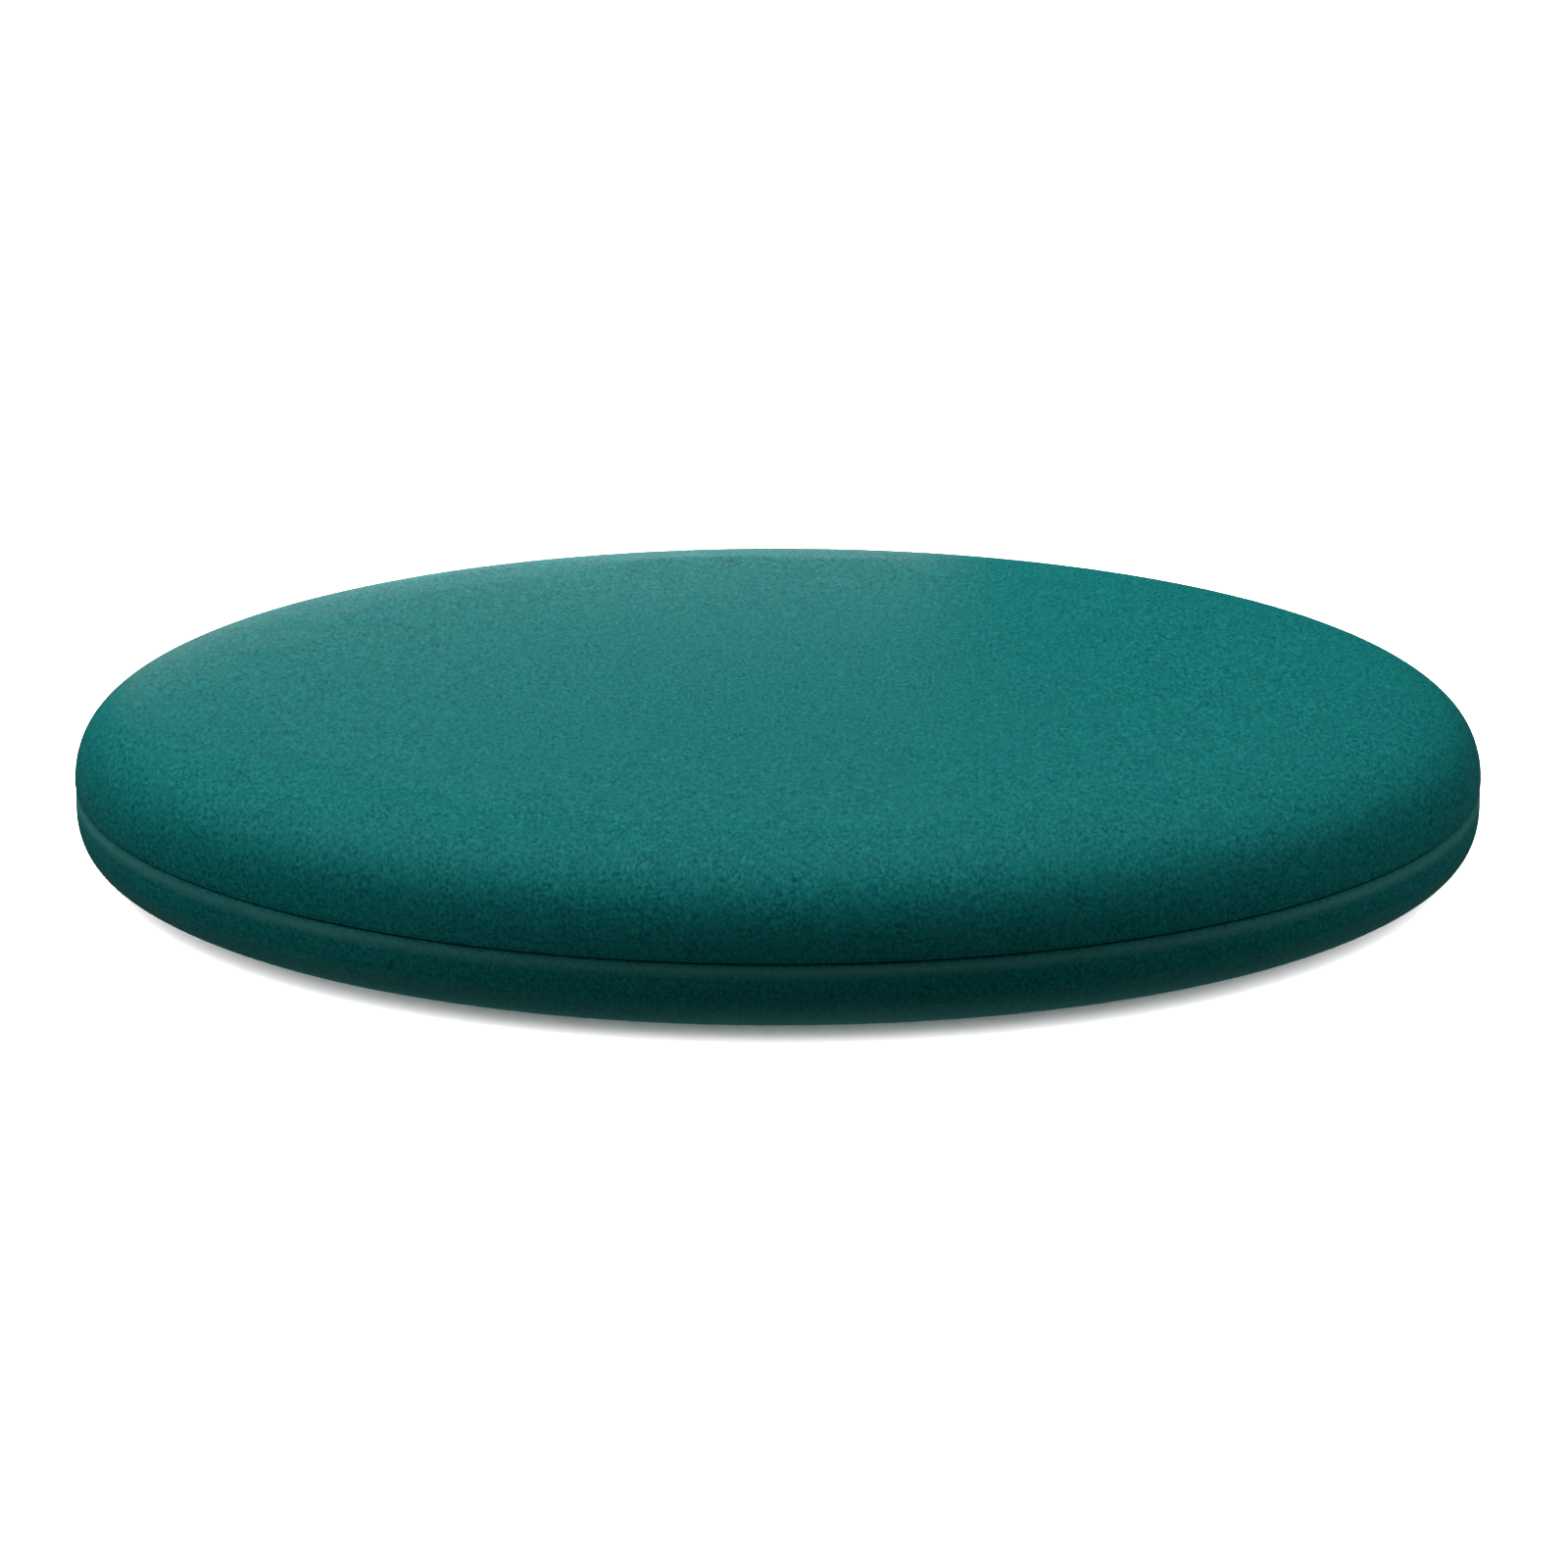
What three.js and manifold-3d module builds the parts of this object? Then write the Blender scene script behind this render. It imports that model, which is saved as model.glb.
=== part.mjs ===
// A round balance pad: two foam discs glued together in a stretch liner, inside a wipe-clean cover of
// two sewn halves. A curved zip at the back of the side seam lets the foam out, and a moulded rubber
// base with low studs keeps the pad from sliding.
//
// Millimetres, +Z up. The origin is the middle of the resting face, and the zip is centred on +Y.
// In the names below, an angle is measured in degrees about +Z from +X, so the zip's middle is at 90.
import * as THREE from 'three';
import { mergeVertices } from 'three/addons/utils/BufferGeometryUtils.js';
import Module from 'manifold-3d';

const wasm = await Module();
wasm.setup();

// ---- Driving dimensions -----------------------------------------------------------------------

const PAD_RADIUS = 200;
const PAD_THICKNESS = 50;
const CLEARANCE = 0.3;

// The cover's outer section: where the side bulges furthest, and how far the seam is drawn in.
const SEAM_HEIGHT = 24.5;
const CREASE_DEPTH = 1.1;
const CREASE_ROUNDING = 0.8;
const UPPER_BULGE_HEIGHT = 26;
const LOWER_BULGE_HEIGHT = 19;
const LOWER_BULGE_RADIUS = PAD_RADIUS - 0.2;
const LOWER_FLAT_RADIUS = 168;
const CROWN_RADIUS = 150;
const CROWN_DROP = 0.5;
// How full the two rounded edges are: the points that pull each curve towards the corner.
const LOWER_FULL_RADIUS = 193;
const LOWER_FULL_HEIGHT = 6.5;
const UPPER_FULL_RADIUS = 183;
const UPPER_FULL_HEIGHT = 43.5;
const COVER_THICKNESS = 1.2;
const SEAM_LIP_RADIUS = 197;
const HEM_INNER_RADIUS = 196.4;
const HEM_OUTER_RADIUS = 199.1;
const HEM_OVERLAP_ANGLE = 0.5;

// The rubber base and its studs.
const BASE_RADIUS = 160;
const BASE_THICKNESS = 1.2;
const STUD_HEIGHT = 1;
const STUD_RADIUS = 5;
const STUD_TAPER = 0.8;
const STUD_RINGS = 4;
const STUD_RING_SPACING = 33;
const CENTRE_STUD_RADIUS = 14;
const BASE_STITCH_RADIUS = 155;

// The filling: the liner's largest radius leaves room for the zip behind the cover.
const LINER_THICKNESS = 0.8;
const LINER_RADIUS = 194.2;
const LINER_OPENING_RADIUS = 70;
const LINER_CLEARANCE = 0.6;
const FOAM_CLEARANCE = 0.4;
const FOAM_JOINT_HEIGHT = 31;
const ELASTIC_WIDTH = 3;
const ELASTIC_THICKNESS = 0.6;

// The zip: a chain 4.2 mm wide on two tapes, in a slot in the cover.
const ZIP_MIDDLE_ANGLE = 90;
const SLIDER_HALF_TRAVEL = 60;
const CHAIN_HALF_ANGLE = 61.3;
const STOP_HALF_ANGLE = 61.93;
const STOP_LENGTH = 2;
const END_TAB_START = 62.6;
const END_TAB_END = 66.6;
const SLOT_HALF_ANGLE = 67;
const TAPE_HALF_ANGLE = 70;
const SLOT_HALF_HEIGHT = 5;
const TAPE_INNER_RADIUS = 195.6;
const TAPE_OUTER_RADIUS = 196.1;
const TAPE_HALF_HEIGHT = 10;
const BINDING_START_ANGLE = 70.5;
const BINDING_WIDTH = 12;
const CHAIN_GAP = 0.65;
const CHAIN_HALF_HEIGHT = 2.1;
const CHAIN_INNER_RADIUS = TAPE_OUTER_RADIUS + CLEARANCE;
const CHAIN_OUTER_RADIUS = CHAIN_INNER_RADIUS + 1.3;
const STITCH_DISTANCE = 3;
const THREAD_SIZE = 0.35;
const STOP_WIDTH = 1.65;
const STOP_THICKNESS = 1.7;
const END_TAB_THICKNESS = 0.8;

// The slider: two plates joined by a wedge, guide rims, and a bridge that holds the pull tab.
const SLIDER_LENGTH = 9.5;
const SLIDER_WIDE_HALF = 3.9;
const SLIDER_NARROW_HALF = 3.2;
const SLIDER_CORNER = 1;
const SLIDER_PLATE = 0.7;
const RIM_INNER_HALF = CHAIN_HALF_HEIGHT + CLEARANCE;
const WEDGE_HALF_THICKNESS = 0.35;
const WEDGE_START = 2;
const WEDGE_END = 4.55;
const RIM_END = 3.65;
const WELD = 0.1;
const BRIDGE_HALF_LENGTH = 2.2;
const BRIDGE_HALF_WIDTH = 1;
const BRIDGE_THICKNESS = 0.6;
const BRIDGE_OPENING = 1.6;
const TAB_LENGTH = 18;
const TAB_HALF_WIDTH = 2.75;
const TAB_THICKNESS = 1;
const TAB_BAR_HALF = 0.45;
const TAB_EYE_LENGTH = 3.2;
const TAB_EYE_HALF_WIDTH = 1.4;
const TAB_CORNER_RADIUS = 1.5;
const TAB_HOLE_RADIUS = 1.3;
const TAB_HOLE_FROM_END = 3.2;

// Facets: the large rounds, the studs, and the step along an arc in degrees.
const ROUND_SEGMENTS = 48;
const STUD_SEGMENTS = 8;
const ARC_STEP = 3;

// ---- Places worked out from the driving dimensions --------------------------------------------

const UNDERSIDE = STUD_HEIGHT + BASE_THICKNESS + CLEARANCE;
const SEAM_TOP = SEAM_HEIGHT + CLEARANCE / 2;
const SEAM_BOTTOM = SEAM_HEIGHT - CLEARANCE / 2;
const SLIDER_FACE_INNER = CHAIN_OUTER_RADIUS + CLEARANCE;
const SLIDER_FACE_OUTER = SLIDER_FACE_INNER + SLIDER_PLATE;
const SLIDER_BACK_OUTER = TAPE_INNER_RADIUS - CLEARANCE;
const SLIDER_BACK_INNER = SLIDER_BACK_OUTER - SLIDER_PLATE;
const PULL_PIVOT_RADIUS = SLIDER_FACE_OUTER + BRIDGE_OPENING / 2;
const SLIDER_REST_ANGLE = ZIP_MIDDLE_ANGLE - SLIDER_HALF_TRAVEL;

// ---- Materials --------------------------------------------------------------------------------

function material(color, roughness, metalness = 0) {
  return new THREE.MeshStandardMaterial({ color, roughness, metalness });
}

const TEAL_COVER = 0x1b7374;
const TEAL_THREAD = 0x175f60;
const TEAL_TAPE = 0x125052;
const TEAL_COIL = 0x1a6668;
const GREY_RUBBER = 0x2c3132;
const CREAM_FOAM = 0xe6e0cc;
const BLUE_FOAM = 0x9db8c2;
const WHITE_KNIT = 0xf0f0ec;
const NICKEL = 0xb9bcbf;

// ---- Solids -----------------------------------------------------------------------------------

const point = (x, y) => new THREE.Vector2(x, y);
const radians = THREE.MathUtils.degToRad;

// A closed geometry as a manifold solid, with shared corners merged and its faces turned outward.
function solid(geometry) {
  geometry.deleteAttribute('normal');
  geometry.deleteAttribute('uv');
  const merged = mergeVertices(geometry);
  const corners = [];
  for (let i = 0; i < merged.index.count; i += 3) {
    const [a, b, c] = [0, 1, 2].map((k) => merged.index.getX(i + k));
    if (a !== b && b !== c && c !== a) corners.push([a, b, c]);
  }
  const build = (triangles) => new wasm.Manifold(new wasm.Mesh({
    numProp: 3,
    vertProperties: new Float32Array(merged.attributes.position.array),
    triVerts: new Uint32Array(triangles.flat()),
  }));
  const body = build(corners);
  return body.volume() > 0 ? body : build(corners.map(([a, b, c]) => [a, c, b]));
}

// A section of radius and height, turned about the Z axis.
function turned(section) {
  return solid(new THREE.LatheGeometry(section, ROUND_SEGMENTS).rotateX(Math.PI / 2));
}

function arcPoints(radius, startAngle, endAngle) {
  const steps = Math.max(1, Math.ceil(Math.abs(endAngle - startAngle) / ARC_STEP));
  return Array.from({ length: steps + 1 }, (_, i) => {
    const angle = radians(startAngle + ((endAngle - startAngle) * i) / steps);
    return point(radius * Math.cos(angle), radius * Math.sin(angle));
  });
}

// A curved bar that follows the pad's side between two angles.
function curvedBar(innerRadius, outerRadius, low, high, startAngle, endAngle) {
  const outline = new THREE.Shape([
    ...arcPoints(outerRadius, startAngle, endAngle),
    ...arcPoints(innerRadius, endAngle, startAngle),
  ]);
  const depth = high - low;
  return solid(new THREE.ExtrudeGeometry(outline, { depth, bevelEnabled: false }).translate(0, 0, low));
}

// A curved bar centred on the zip's middle.
function zipBar(innerRadius, outerRadius, low, high, halfAngle) {
  return curvedBar(
    innerRadius, outerRadius, low, high, ZIP_MIDDLE_ANGLE - halfAngle, ZIP_MIDDLE_ANGLE + halfAngle,
  );
}

function block(xLow, xHigh, yLow, yHigh, zLow, zHigh) {
  const box = new THREE.BoxGeometry(xHigh - xLow, yHigh - yLow, zHigh - zLow);
  return solid(box.translate((xLow + xHigh) / 2, (yLow + yHigh) / 2, (zLow + zHigh) / 2));
}

// An outline in the YZ plane, given a thickness along X.
function slab(outline, xLow, xHigh) {
  const upright = new THREE.Matrix4().makeBasis(
    new THREE.Vector3(0, 1, 0), new THREE.Vector3(0, 0, 1), new THREE.Vector3(1, 0, 0),
  );
  const options = { depth: xHigh - xLow, bevelEnabled: false, curveSegments: 3 };
  const plate = new THREE.ExtrudeGeometry(outline, options);
  return solid(plate.applyMatrix4(upright).translate(xLow, 0, 0));
}

// ---- Outlines of the pad's section, from the axis outward and upward --------------------------

const lowerEdge = new THREE.CubicBezierCurve(
  point(LOWER_FLAT_RADIUS, UNDERSIDE),
  point(LOWER_FULL_RADIUS, UNDERSIDE),
  point(LOWER_BULGE_RADIUS, LOWER_FULL_HEIGHT),
  point(LOWER_BULGE_RADIUS, LOWER_BULGE_HEIGHT),
);

const shoulder = new THREE.CubicBezierCurve(
  point(PAD_RADIUS, UPPER_BULGE_HEIGHT),
  point(PAD_RADIUS, UPPER_FULL_HEIGHT),
  point(UPPER_FULL_RADIUS, PAD_THICKNESS),
  point(CROWN_RADIUS, PAD_THICKNESS - CROWN_DROP),
);

const lowerCrease = new THREE.QuadraticBezierCurve(
  point(LOWER_BULGE_RADIUS, LOWER_BULGE_HEIGHT),
  point(LOWER_BULGE_RADIUS, SEAM_BOTTOM - CREASE_ROUNDING),
  point(PAD_RADIUS - CREASE_DEPTH, SEAM_BOTTOM),
);

const upperCrease = new THREE.QuadraticBezierCurve(
  point(PAD_RADIUS - CREASE_DEPTH, SEAM_TOP),
  point(PAD_RADIUS, SEAM_TOP + CREASE_ROUNDING),
  point(PAD_RADIUS, UPPER_BULGE_HEIGHT),
);

function lowerSection() {
  return [point(0, UNDERSIDE), ...lowerEdge.getPoints(5), ...lowerCrease.getPoints(2).slice(1)];
}

function upperSection() {
  return [...upperCrease.getPoints(2), ...shoulder.getPoints(6).slice(1), point(0, PAD_THICKNESS)];
}

// The same section moved inward by a distance. Inward is to the left of the way that it runs.
function inset(section, distance) {
  return section.map((here, i) => {
    if (here.x === 0) return point(0, here.y + (i === 0 ? distance : -distance));
    const before = section[Math.max(i - 1, 0)];
    const after = section[Math.min(i + 1, section.length - 1)];
    const along = after.clone().sub(before).normalize();
    return point(here.x - along.y * distance, here.y + along.x * distance);
  });
}

// The cover's outer radius at a height, on one of its two edge curves.
function coverRadius(edge, height) {
  const distance = (p) => Math.abs(p.y - height);
  return edge.getPoints(100).reduce((best, p) => (distance(p) < distance(best) ? p : best)).x;
}

// The whole section without its crease, moved inward and no wider than a limit.
function fillingSection(distance, limit) {
  const sides = [...lowerEdge.getPoints(2), ...shoulder.getPoints(3)];
  const outline = [point(0, UNDERSIDE), ...sides, point(0, PAD_THICKNESS)];
  return inset(outline, distance).map((p) => point(Math.min(p.x, limit), p.y));
}

// ---- The cover ---------------------------------------------------------------------------------

// The cut for the zip is the whole slot, and the turned-in hem closes each cover half along it.
function withZipOpening(shell, hemLow, hemHigh) {
  const slot = zipBar(
    HEM_INNER_RADIUS - 1, PAD_RADIUS + 1,
    SEAM_HEIGHT - SLOT_HALF_HEIGHT, SEAM_HEIGHT + SLOT_HALF_HEIGHT, SLOT_HALF_ANGLE,
  );
  const hem = zipBar(
    HEM_INNER_RADIUS, HEM_OUTER_RADIUS, hemLow, hemHigh, SLOT_HALF_ANGLE + HEM_OVERLAP_ANGLE,
  );
  return shell.subtract(slot).add(hem);
}

function upperCover() {
  const outer = upperSection();
  const lipTop = SEAM_TOP + COVER_THICKNESS;
  const inner = inset(outer, COVER_THICKNESS).filter((p) => p.y > lipTop + CLEARANCE);
  const shell = turned([
    ...inner.reverse(),
    point(PAD_RADIUS - CREASE_DEPTH - COVER_THICKNESS, lipTop),
    point(SEAM_LIP_RADIUS, lipTop),
    point(SEAM_LIP_RADIUS, SEAM_TOP),
    ...outer,
  ]);
  const slotTop = SEAM_HEIGHT + SLOT_HALF_HEIGHT;
  return withZipOpening(shell, slotTop, slotTop + COVER_THICKNESS);
}

function lowerCover() {
  const outer = lowerSection();
  const lipBottom = SEAM_BOTTOM - COVER_THICKNESS;
  const inner = inset(outer, COVER_THICKNESS).filter((p) => p.y < lipBottom - CLEARANCE);
  const shell = turned([
    ...outer,
    point(SEAM_LIP_RADIUS, SEAM_BOTTOM),
    point(SEAM_LIP_RADIUS, lipBottom),
    point(PAD_RADIUS - CREASE_DEPTH - COVER_THICKNESS, lipBottom),
    ...inner.reverse(),
  ]);
  const slotBottom = SEAM_HEIGHT - SLOT_HALF_HEIGHT;
  return withZipOpening(shell, slotBottom - COVER_THICKNESS, slotBottom);
}

// The tape that binds the seam's raw edges inside, all the way round outside the zip.
function seamBinding() {
  const half = BINDING_WIDTH / 2;
  const start = ZIP_MIDDLE_ANGLE + BINDING_START_ANGLE;
  const end = ZIP_MIDDLE_ANGLE - BINDING_START_ANGLE + 360;
  return curvedBar(TAPE_INNER_RADIUS, TAPE_OUTER_RADIUS, SEAM_HEIGHT - half, SEAM_HEIGHT + half, start, end);
}

// ---- The rubber base ---------------------------------------------------------------------------

function stud(x, y, radius) {
  const height = STUD_HEIGHT + 2 * WELD;
  const cone = new THREE.CylinderGeometry(radius, radius - STUD_TAPER, height, STUD_SEGMENTS);
  return solid(cone.rotateX(Math.PI / 2).translate(x, y, height / 2));
}

function gripBase() {
  const sheet = new THREE.CylinderGeometry(BASE_RADIUS, BASE_RADIUS, BASE_THICKNESS, ROUND_SEGMENTS);
  let base = solid(sheet.rotateX(Math.PI / 2).translate(0, 0, STUD_HEIGHT + BASE_THICKNESS / 2));
  base = base.add(stud(0, 0, CENTRE_STUD_RADIUS));
  for (let ring = 1; ring <= STUD_RINGS; ring += 1) {
    const studs = 6 * ring;
    for (let i = 0; i < studs; i += 1) {
      const angle = (2 * Math.PI * i) / studs;
      const radius = ring * STUD_RING_SPACING;
      base = base.add(stud(radius * Math.cos(angle), radius * Math.sin(angle), STUD_RADIUS));
    }
  }
  return base;
}

function baseStitching() {
  const high = STUD_HEIGHT - CLEARANCE;
  const low = high - THREAD_SIZE;
  return turned([
    point(BASE_STITCH_RADIUS, low),
    point(BASE_STITCH_RADIUS + THREAD_SIZE, low),
    point(BASE_STITCH_RADIUS + THREAD_SIZE, high),
    point(BASE_STITCH_RADIUS, high),
    point(BASE_STITCH_RADIUS, low),
  ]);
}

// ---- The filling -------------------------------------------------------------------------------

const LINER_DEPTH = COVER_THICKNESS + LINER_CLEARANCE;
const FOAM_DEPTH = LINER_DEPTH + LINER_THICKNESS + FOAM_CLEARANCE;
const FOAM_RADIUS = LINER_RADIUS - LINER_THICKNESS - FOAM_CLEARANCE;

// A stretch sock over the foam, with a gathered opening underneath.
function innerLiner() {
  const outside = fillingSection(LINER_DEPTH, LINER_RADIUS);
  const inside = fillingSection(LINER_DEPTH + LINER_THICKNESS, LINER_RADIUS - LINER_THICKNESS);
  outside[0].x = LINER_OPENING_RADIUS;
  inside[0].x = LINER_OPENING_RADIUS;
  return turned([...outside, ...inside.reverse(), outside[0]]);
}

function linerElastic() {
  const low = UNDERSIDE + LINER_DEPTH + WELD;
  const high = low + ELASTIC_THICKNESS;
  const outerRadius = LINER_OPENING_RADIUS - CLEARANCE;
  return turned([
    point(outerRadius - ELASTIC_WIDTH, low),
    point(outerRadius, low),
    point(outerRadius, high),
    point(outerRadius - ELASTIC_WIDTH, high),
    point(outerRadius - ELASTIC_WIDTH, low),
  ]);
}

function coreFoam() {
  const high = FOAM_JOINT_HEIGHT - CLEARANCE / 2;
  const below = fillingSection(FOAM_DEPTH, FOAM_RADIUS).filter((p) => p.y < LOWER_BULGE_HEIGHT);
  return turned([...below, point(FOAM_RADIUS, high), point(0, high)]);
}

function comfortFoam() {
  const low = FOAM_JOINT_HEIGHT + CLEARANCE / 2;
  const above = fillingSection(FOAM_DEPTH, FOAM_RADIUS).filter((p) => p.y > low);
  return turned([point(0, low), point(FOAM_RADIUS, low), ...above]);
}

// ---- The zip -----------------------------------------------------------------------------------

// Each side of the zip is given by +1 for the half above the seam and -1 for the half below it.
function besideSeam(side, near, far) {
  return [SEAM_HEIGHT + side * near, SEAM_HEIGHT + side * far].sort((a, b) => a - b);
}

function zipTape(side) {
  const [low, high] = besideSeam(side, CHAIN_GAP, TAPE_HALF_HEIGHT);
  return zipBar(TAPE_INNER_RADIUS, TAPE_OUTER_RADIUS, low, high, TAPE_HALF_ANGLE);
}

function zipCoil(side) {
  const [low, high] = besideSeam(side, CHAIN_GAP, CHAIN_HALF_HEIGHT);
  return zipBar(CHAIN_INNER_RADIUS, CHAIN_OUTER_RADIUS, low, high, CHAIN_HALF_ANGLE);
}

// The thread that sews each cover half to its tape stands just clear of the cover.
function zipStitching(side) {
  const height = SEAM_HEIGHT + side * (SLOT_HALF_HEIGHT + STITCH_DISTANCE);
  const innerRadius = coverRadius(side > 0 ? shoulder : lowerEdge, height) + CLEARANCE;
  const half = THREAD_SIZE / 2;
  return zipBar(innerRadius, innerRadius + THREAD_SIZE, height - half, height + half, SLOT_HALF_ANGLE);
}

function zipStop(angle, low, high) {
  const middle = (CHAIN_INNER_RADIUS + CHAIN_OUTER_RADIUS) / 2;
  const halfAngle = THREE.MathUtils.radToDeg(STOP_LENGTH / 2 / middle);
  const outer = CHAIN_INNER_RADIUS + STOP_THICKNESS;
  return curvedBar(CHAIN_INNER_RADIUS, outer, low, high, angle - halfAngle, angle + halfAngle);
}

function zipEndTab(startAngle, endAngle) {
  const half = SLOT_HALF_HEIGHT - CLEARANCE;
  const outer = CHAIN_INNER_RADIUS + END_TAB_THICKNESS;
  return curvedBar(CHAIN_INNER_RADIUS, outer, SEAM_HEIGHT - half, SEAM_HEIGHT + half, startAngle, endAngle);
}

// ---- The slider and its pull tab ---------------------------------------------------------------

// Both are drawn on the +X side of the pad, with X as the radius, Y along the zip and Z from the
// seam. The wide end with the wedge is at -Y, which is the end that leads when the zip closes.
function sliderOutline() {
  const half = SLIDER_LENGTH / 2;
  const corner = half - SLIDER_CORNER;
  return new THREE.Shape([
    point(-half, -SLIDER_WIDE_HALF + SLIDER_CORNER),
    point(-corner, -SLIDER_WIDE_HALF),
    point(-half / 3, -SLIDER_WIDE_HALF),
    point(corner, -SLIDER_NARROW_HALF),
    point(half, -SLIDER_NARROW_HALF + SLIDER_CORNER),
    point(half, SLIDER_NARROW_HALF - SLIDER_CORNER),
    point(corner, SLIDER_NARROW_HALF),
    point(-half / 3, SLIDER_WIDE_HALF),
    point(-corner, SLIDER_WIDE_HALF),
    point(-half, SLIDER_WIDE_HALF - SLIDER_CORNER),
  ]);
}

function zipSlider() {
  let slider = slab(sliderOutline(), SLIDER_FACE_INNER, SLIDER_FACE_OUTER);
  slider = slider.add(slab(sliderOutline(), SLIDER_BACK_INNER, SLIDER_BACK_OUTER));
  slider = slider.add(block(
    SLIDER_BACK_OUTER - WELD, SLIDER_FACE_INNER + WELD,
    -WEDGE_END, -WEDGE_START, -WEDGE_HALF_THICKNESS, WEDGE_HALF_THICKNESS,
  ));
  for (const side of [-1, 1]) {
    const [low, high] = [side * RIM_INNER_HALF, side * SLIDER_NARROW_HALF].sort((a, b) => a - b);
    slider = slider.add(block(
      CHAIN_INNER_RADIUS, SLIDER_FACE_INNER + WELD, -WEDGE_START, RIM_END, low, high,
    ));
    const [start, end] = [side * (BRIDGE_HALF_LENGTH - BRIDGE_THICKNESS), side * BRIDGE_HALF_LENGTH]
      .sort((a, b) => a - b);
    slider = slider.add(block(
      SLIDER_FACE_OUTER - WELD, SLIDER_FACE_OUTER + BRIDGE_OPENING + WELD,
      start, end, -BRIDGE_HALF_WIDTH, BRIDGE_HALF_WIDTH,
    ));
  }
  const archInner = SLIDER_FACE_OUTER + BRIDGE_OPENING;
  return slider.add(block(
    archInner, archInner + BRIDGE_THICKNESS,
    -BRIDGE_HALF_LENGTH, BRIDGE_HALF_LENGTH, -BRIDGE_HALF_WIDTH, BRIDGE_HALF_WIDTH,
  ));
}

// The tab is drawn about its own pivot, which is the bar that passes under the bridge.
function pullTab() {
  const outline = new THREE.Shape();
  outline.moveTo(-TAB_BAR_HALF, -TAB_HALF_WIDTH);
  outline.lineTo(TAB_LENGTH - TAB_CORNER_RADIUS, -TAB_HALF_WIDTH);
  outline.absarc(
    TAB_LENGTH - TAB_CORNER_RADIUS, -TAB_HALF_WIDTH + TAB_CORNER_RADIUS, TAB_CORNER_RADIUS, -Math.PI / 2, 0,
  );
  outline.absarc(
    TAB_LENGTH - TAB_CORNER_RADIUS, TAB_HALF_WIDTH - TAB_CORNER_RADIUS, TAB_CORNER_RADIUS, 0, Math.PI / 2,
  );
  outline.lineTo(-TAB_BAR_HALF, TAB_HALF_WIDTH);
  outline.closePath();
  const eye = new THREE.Path([
    point(TAB_BAR_HALF, -TAB_EYE_HALF_WIDTH),
    point(TAB_BAR_HALF, TAB_EYE_HALF_WIDTH),
    point(TAB_EYE_LENGTH, TAB_EYE_HALF_WIDTH),
    point(TAB_EYE_LENGTH, -TAB_EYE_HALF_WIDTH),
  ]);
  const gripHole = new THREE.Path();
  gripHole.absarc(TAB_LENGTH - TAB_HOLE_FROM_END, 0, TAB_HOLE_RADIUS, 0, 2 * Math.PI);
  outline.holes.push(eye, gripHole);
  return slab(outline, -TAB_THICKNESS / 2, TAB_THICKNESS / 2);
}

// ---- The assembly ------------------------------------------------------------------------------

function piece(name, body, look) {
  const { vertProperties, triVerts } = body.getMesh();
  const geometry = new THREE.BufferGeometry();
  geometry.setAttribute('position', new THREE.BufferAttribute(vertProperties, 3));
  geometry.setIndex(new THREE.BufferAttribute(triVerts, 1));
  geometry.computeVertexNormals();
  const mesh = new THREE.Mesh(geometry, look);
  mesh.name = name;
  return mesh;
}

const group = new THREE.Group();
group.add(
  piece('upper_cover', upperCover(), material(TEAL_COVER, 0.8)),
  piece('lower_cover', lowerCover(), material(TEAL_COVER, 0.8)),
  piece('seam_binding', seamBinding(), material(TEAL_TAPE, 0.9)),
  piece('grip_base', gripBase(), material(GREY_RUBBER, 0.85)),
  piece('base_stitching', baseStitching(), material(TEAL_THREAD, 0.7)),
  piece('core_foam', coreFoam(), material(BLUE_FOAM, 0.95)),
  piece('comfort_foam', comfortFoam(), material(CREAM_FOAM, 0.95)),
  piece('inner_liner', innerLiner(), material(WHITE_KNIT, 0.9)),
  piece('liner_elastic', linerElastic(), material(WHITE_KNIT, 0.85)),
);

for (const [side, where] of [[1, 'upper'], [-1, 'lower']]) {
  const [low, high] = besideSeam(side, CHAIN_GAP, CHAIN_GAP + STOP_WIDTH);
  const topStop = zipStop(ZIP_MIDDLE_ANGLE - STOP_HALF_ANGLE, low, high);
  group.add(
    piece(`zip_tape_${where}`, zipTape(side), material(TEAL_TAPE, 0.9)),
    piece(`zip_coil_${where}`, zipCoil(side), material(TEAL_COIL, 0.5)),
    piece(`zip_stitching_${where}`, zipStitching(side), material(TEAL_THREAD, 0.7)),
    piece(`zip_top_stop_${where}`, topStop, material(NICKEL, 0.35, 1)),
  );
}

const stopHalf = CHAIN_GAP + STOP_WIDTH;
group.add(
  piece(
    'zip_bottom_stop',
    zipStop(ZIP_MIDDLE_ANGLE + STOP_HALF_ANGLE, SEAM_HEIGHT - stopHalf, SEAM_HEIGHT + stopHalf),
    material(NICKEL, 0.35, 1),
  ),
  piece(
    'zip_end_tab_right',
    zipEndTab(ZIP_MIDDLE_ANGLE - END_TAB_END, ZIP_MIDDLE_ANGLE - END_TAB_START),
    material(TEAL_COVER, 0.8),
  ),
  piece(
    'zip_end_tab_left',
    zipEndTab(ZIP_MIDDLE_ANGLE + END_TAB_START, ZIP_MIDDLE_ANGLE + END_TAB_END),
    material(TEAL_COVER, 0.8),
  ),
);

const slider = piece('zip_slider', zipSlider(), material(NICKEL, 0.3, 1));
const tab = piece('pull_tab', pullTab(), material(NICKEL, 0.3, 1));
slider.position.set(0, 0, SEAM_HEIGHT);
tab.position.set(PULL_PIVOT_RADIUS, 0, SEAM_HEIGHT);

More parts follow.
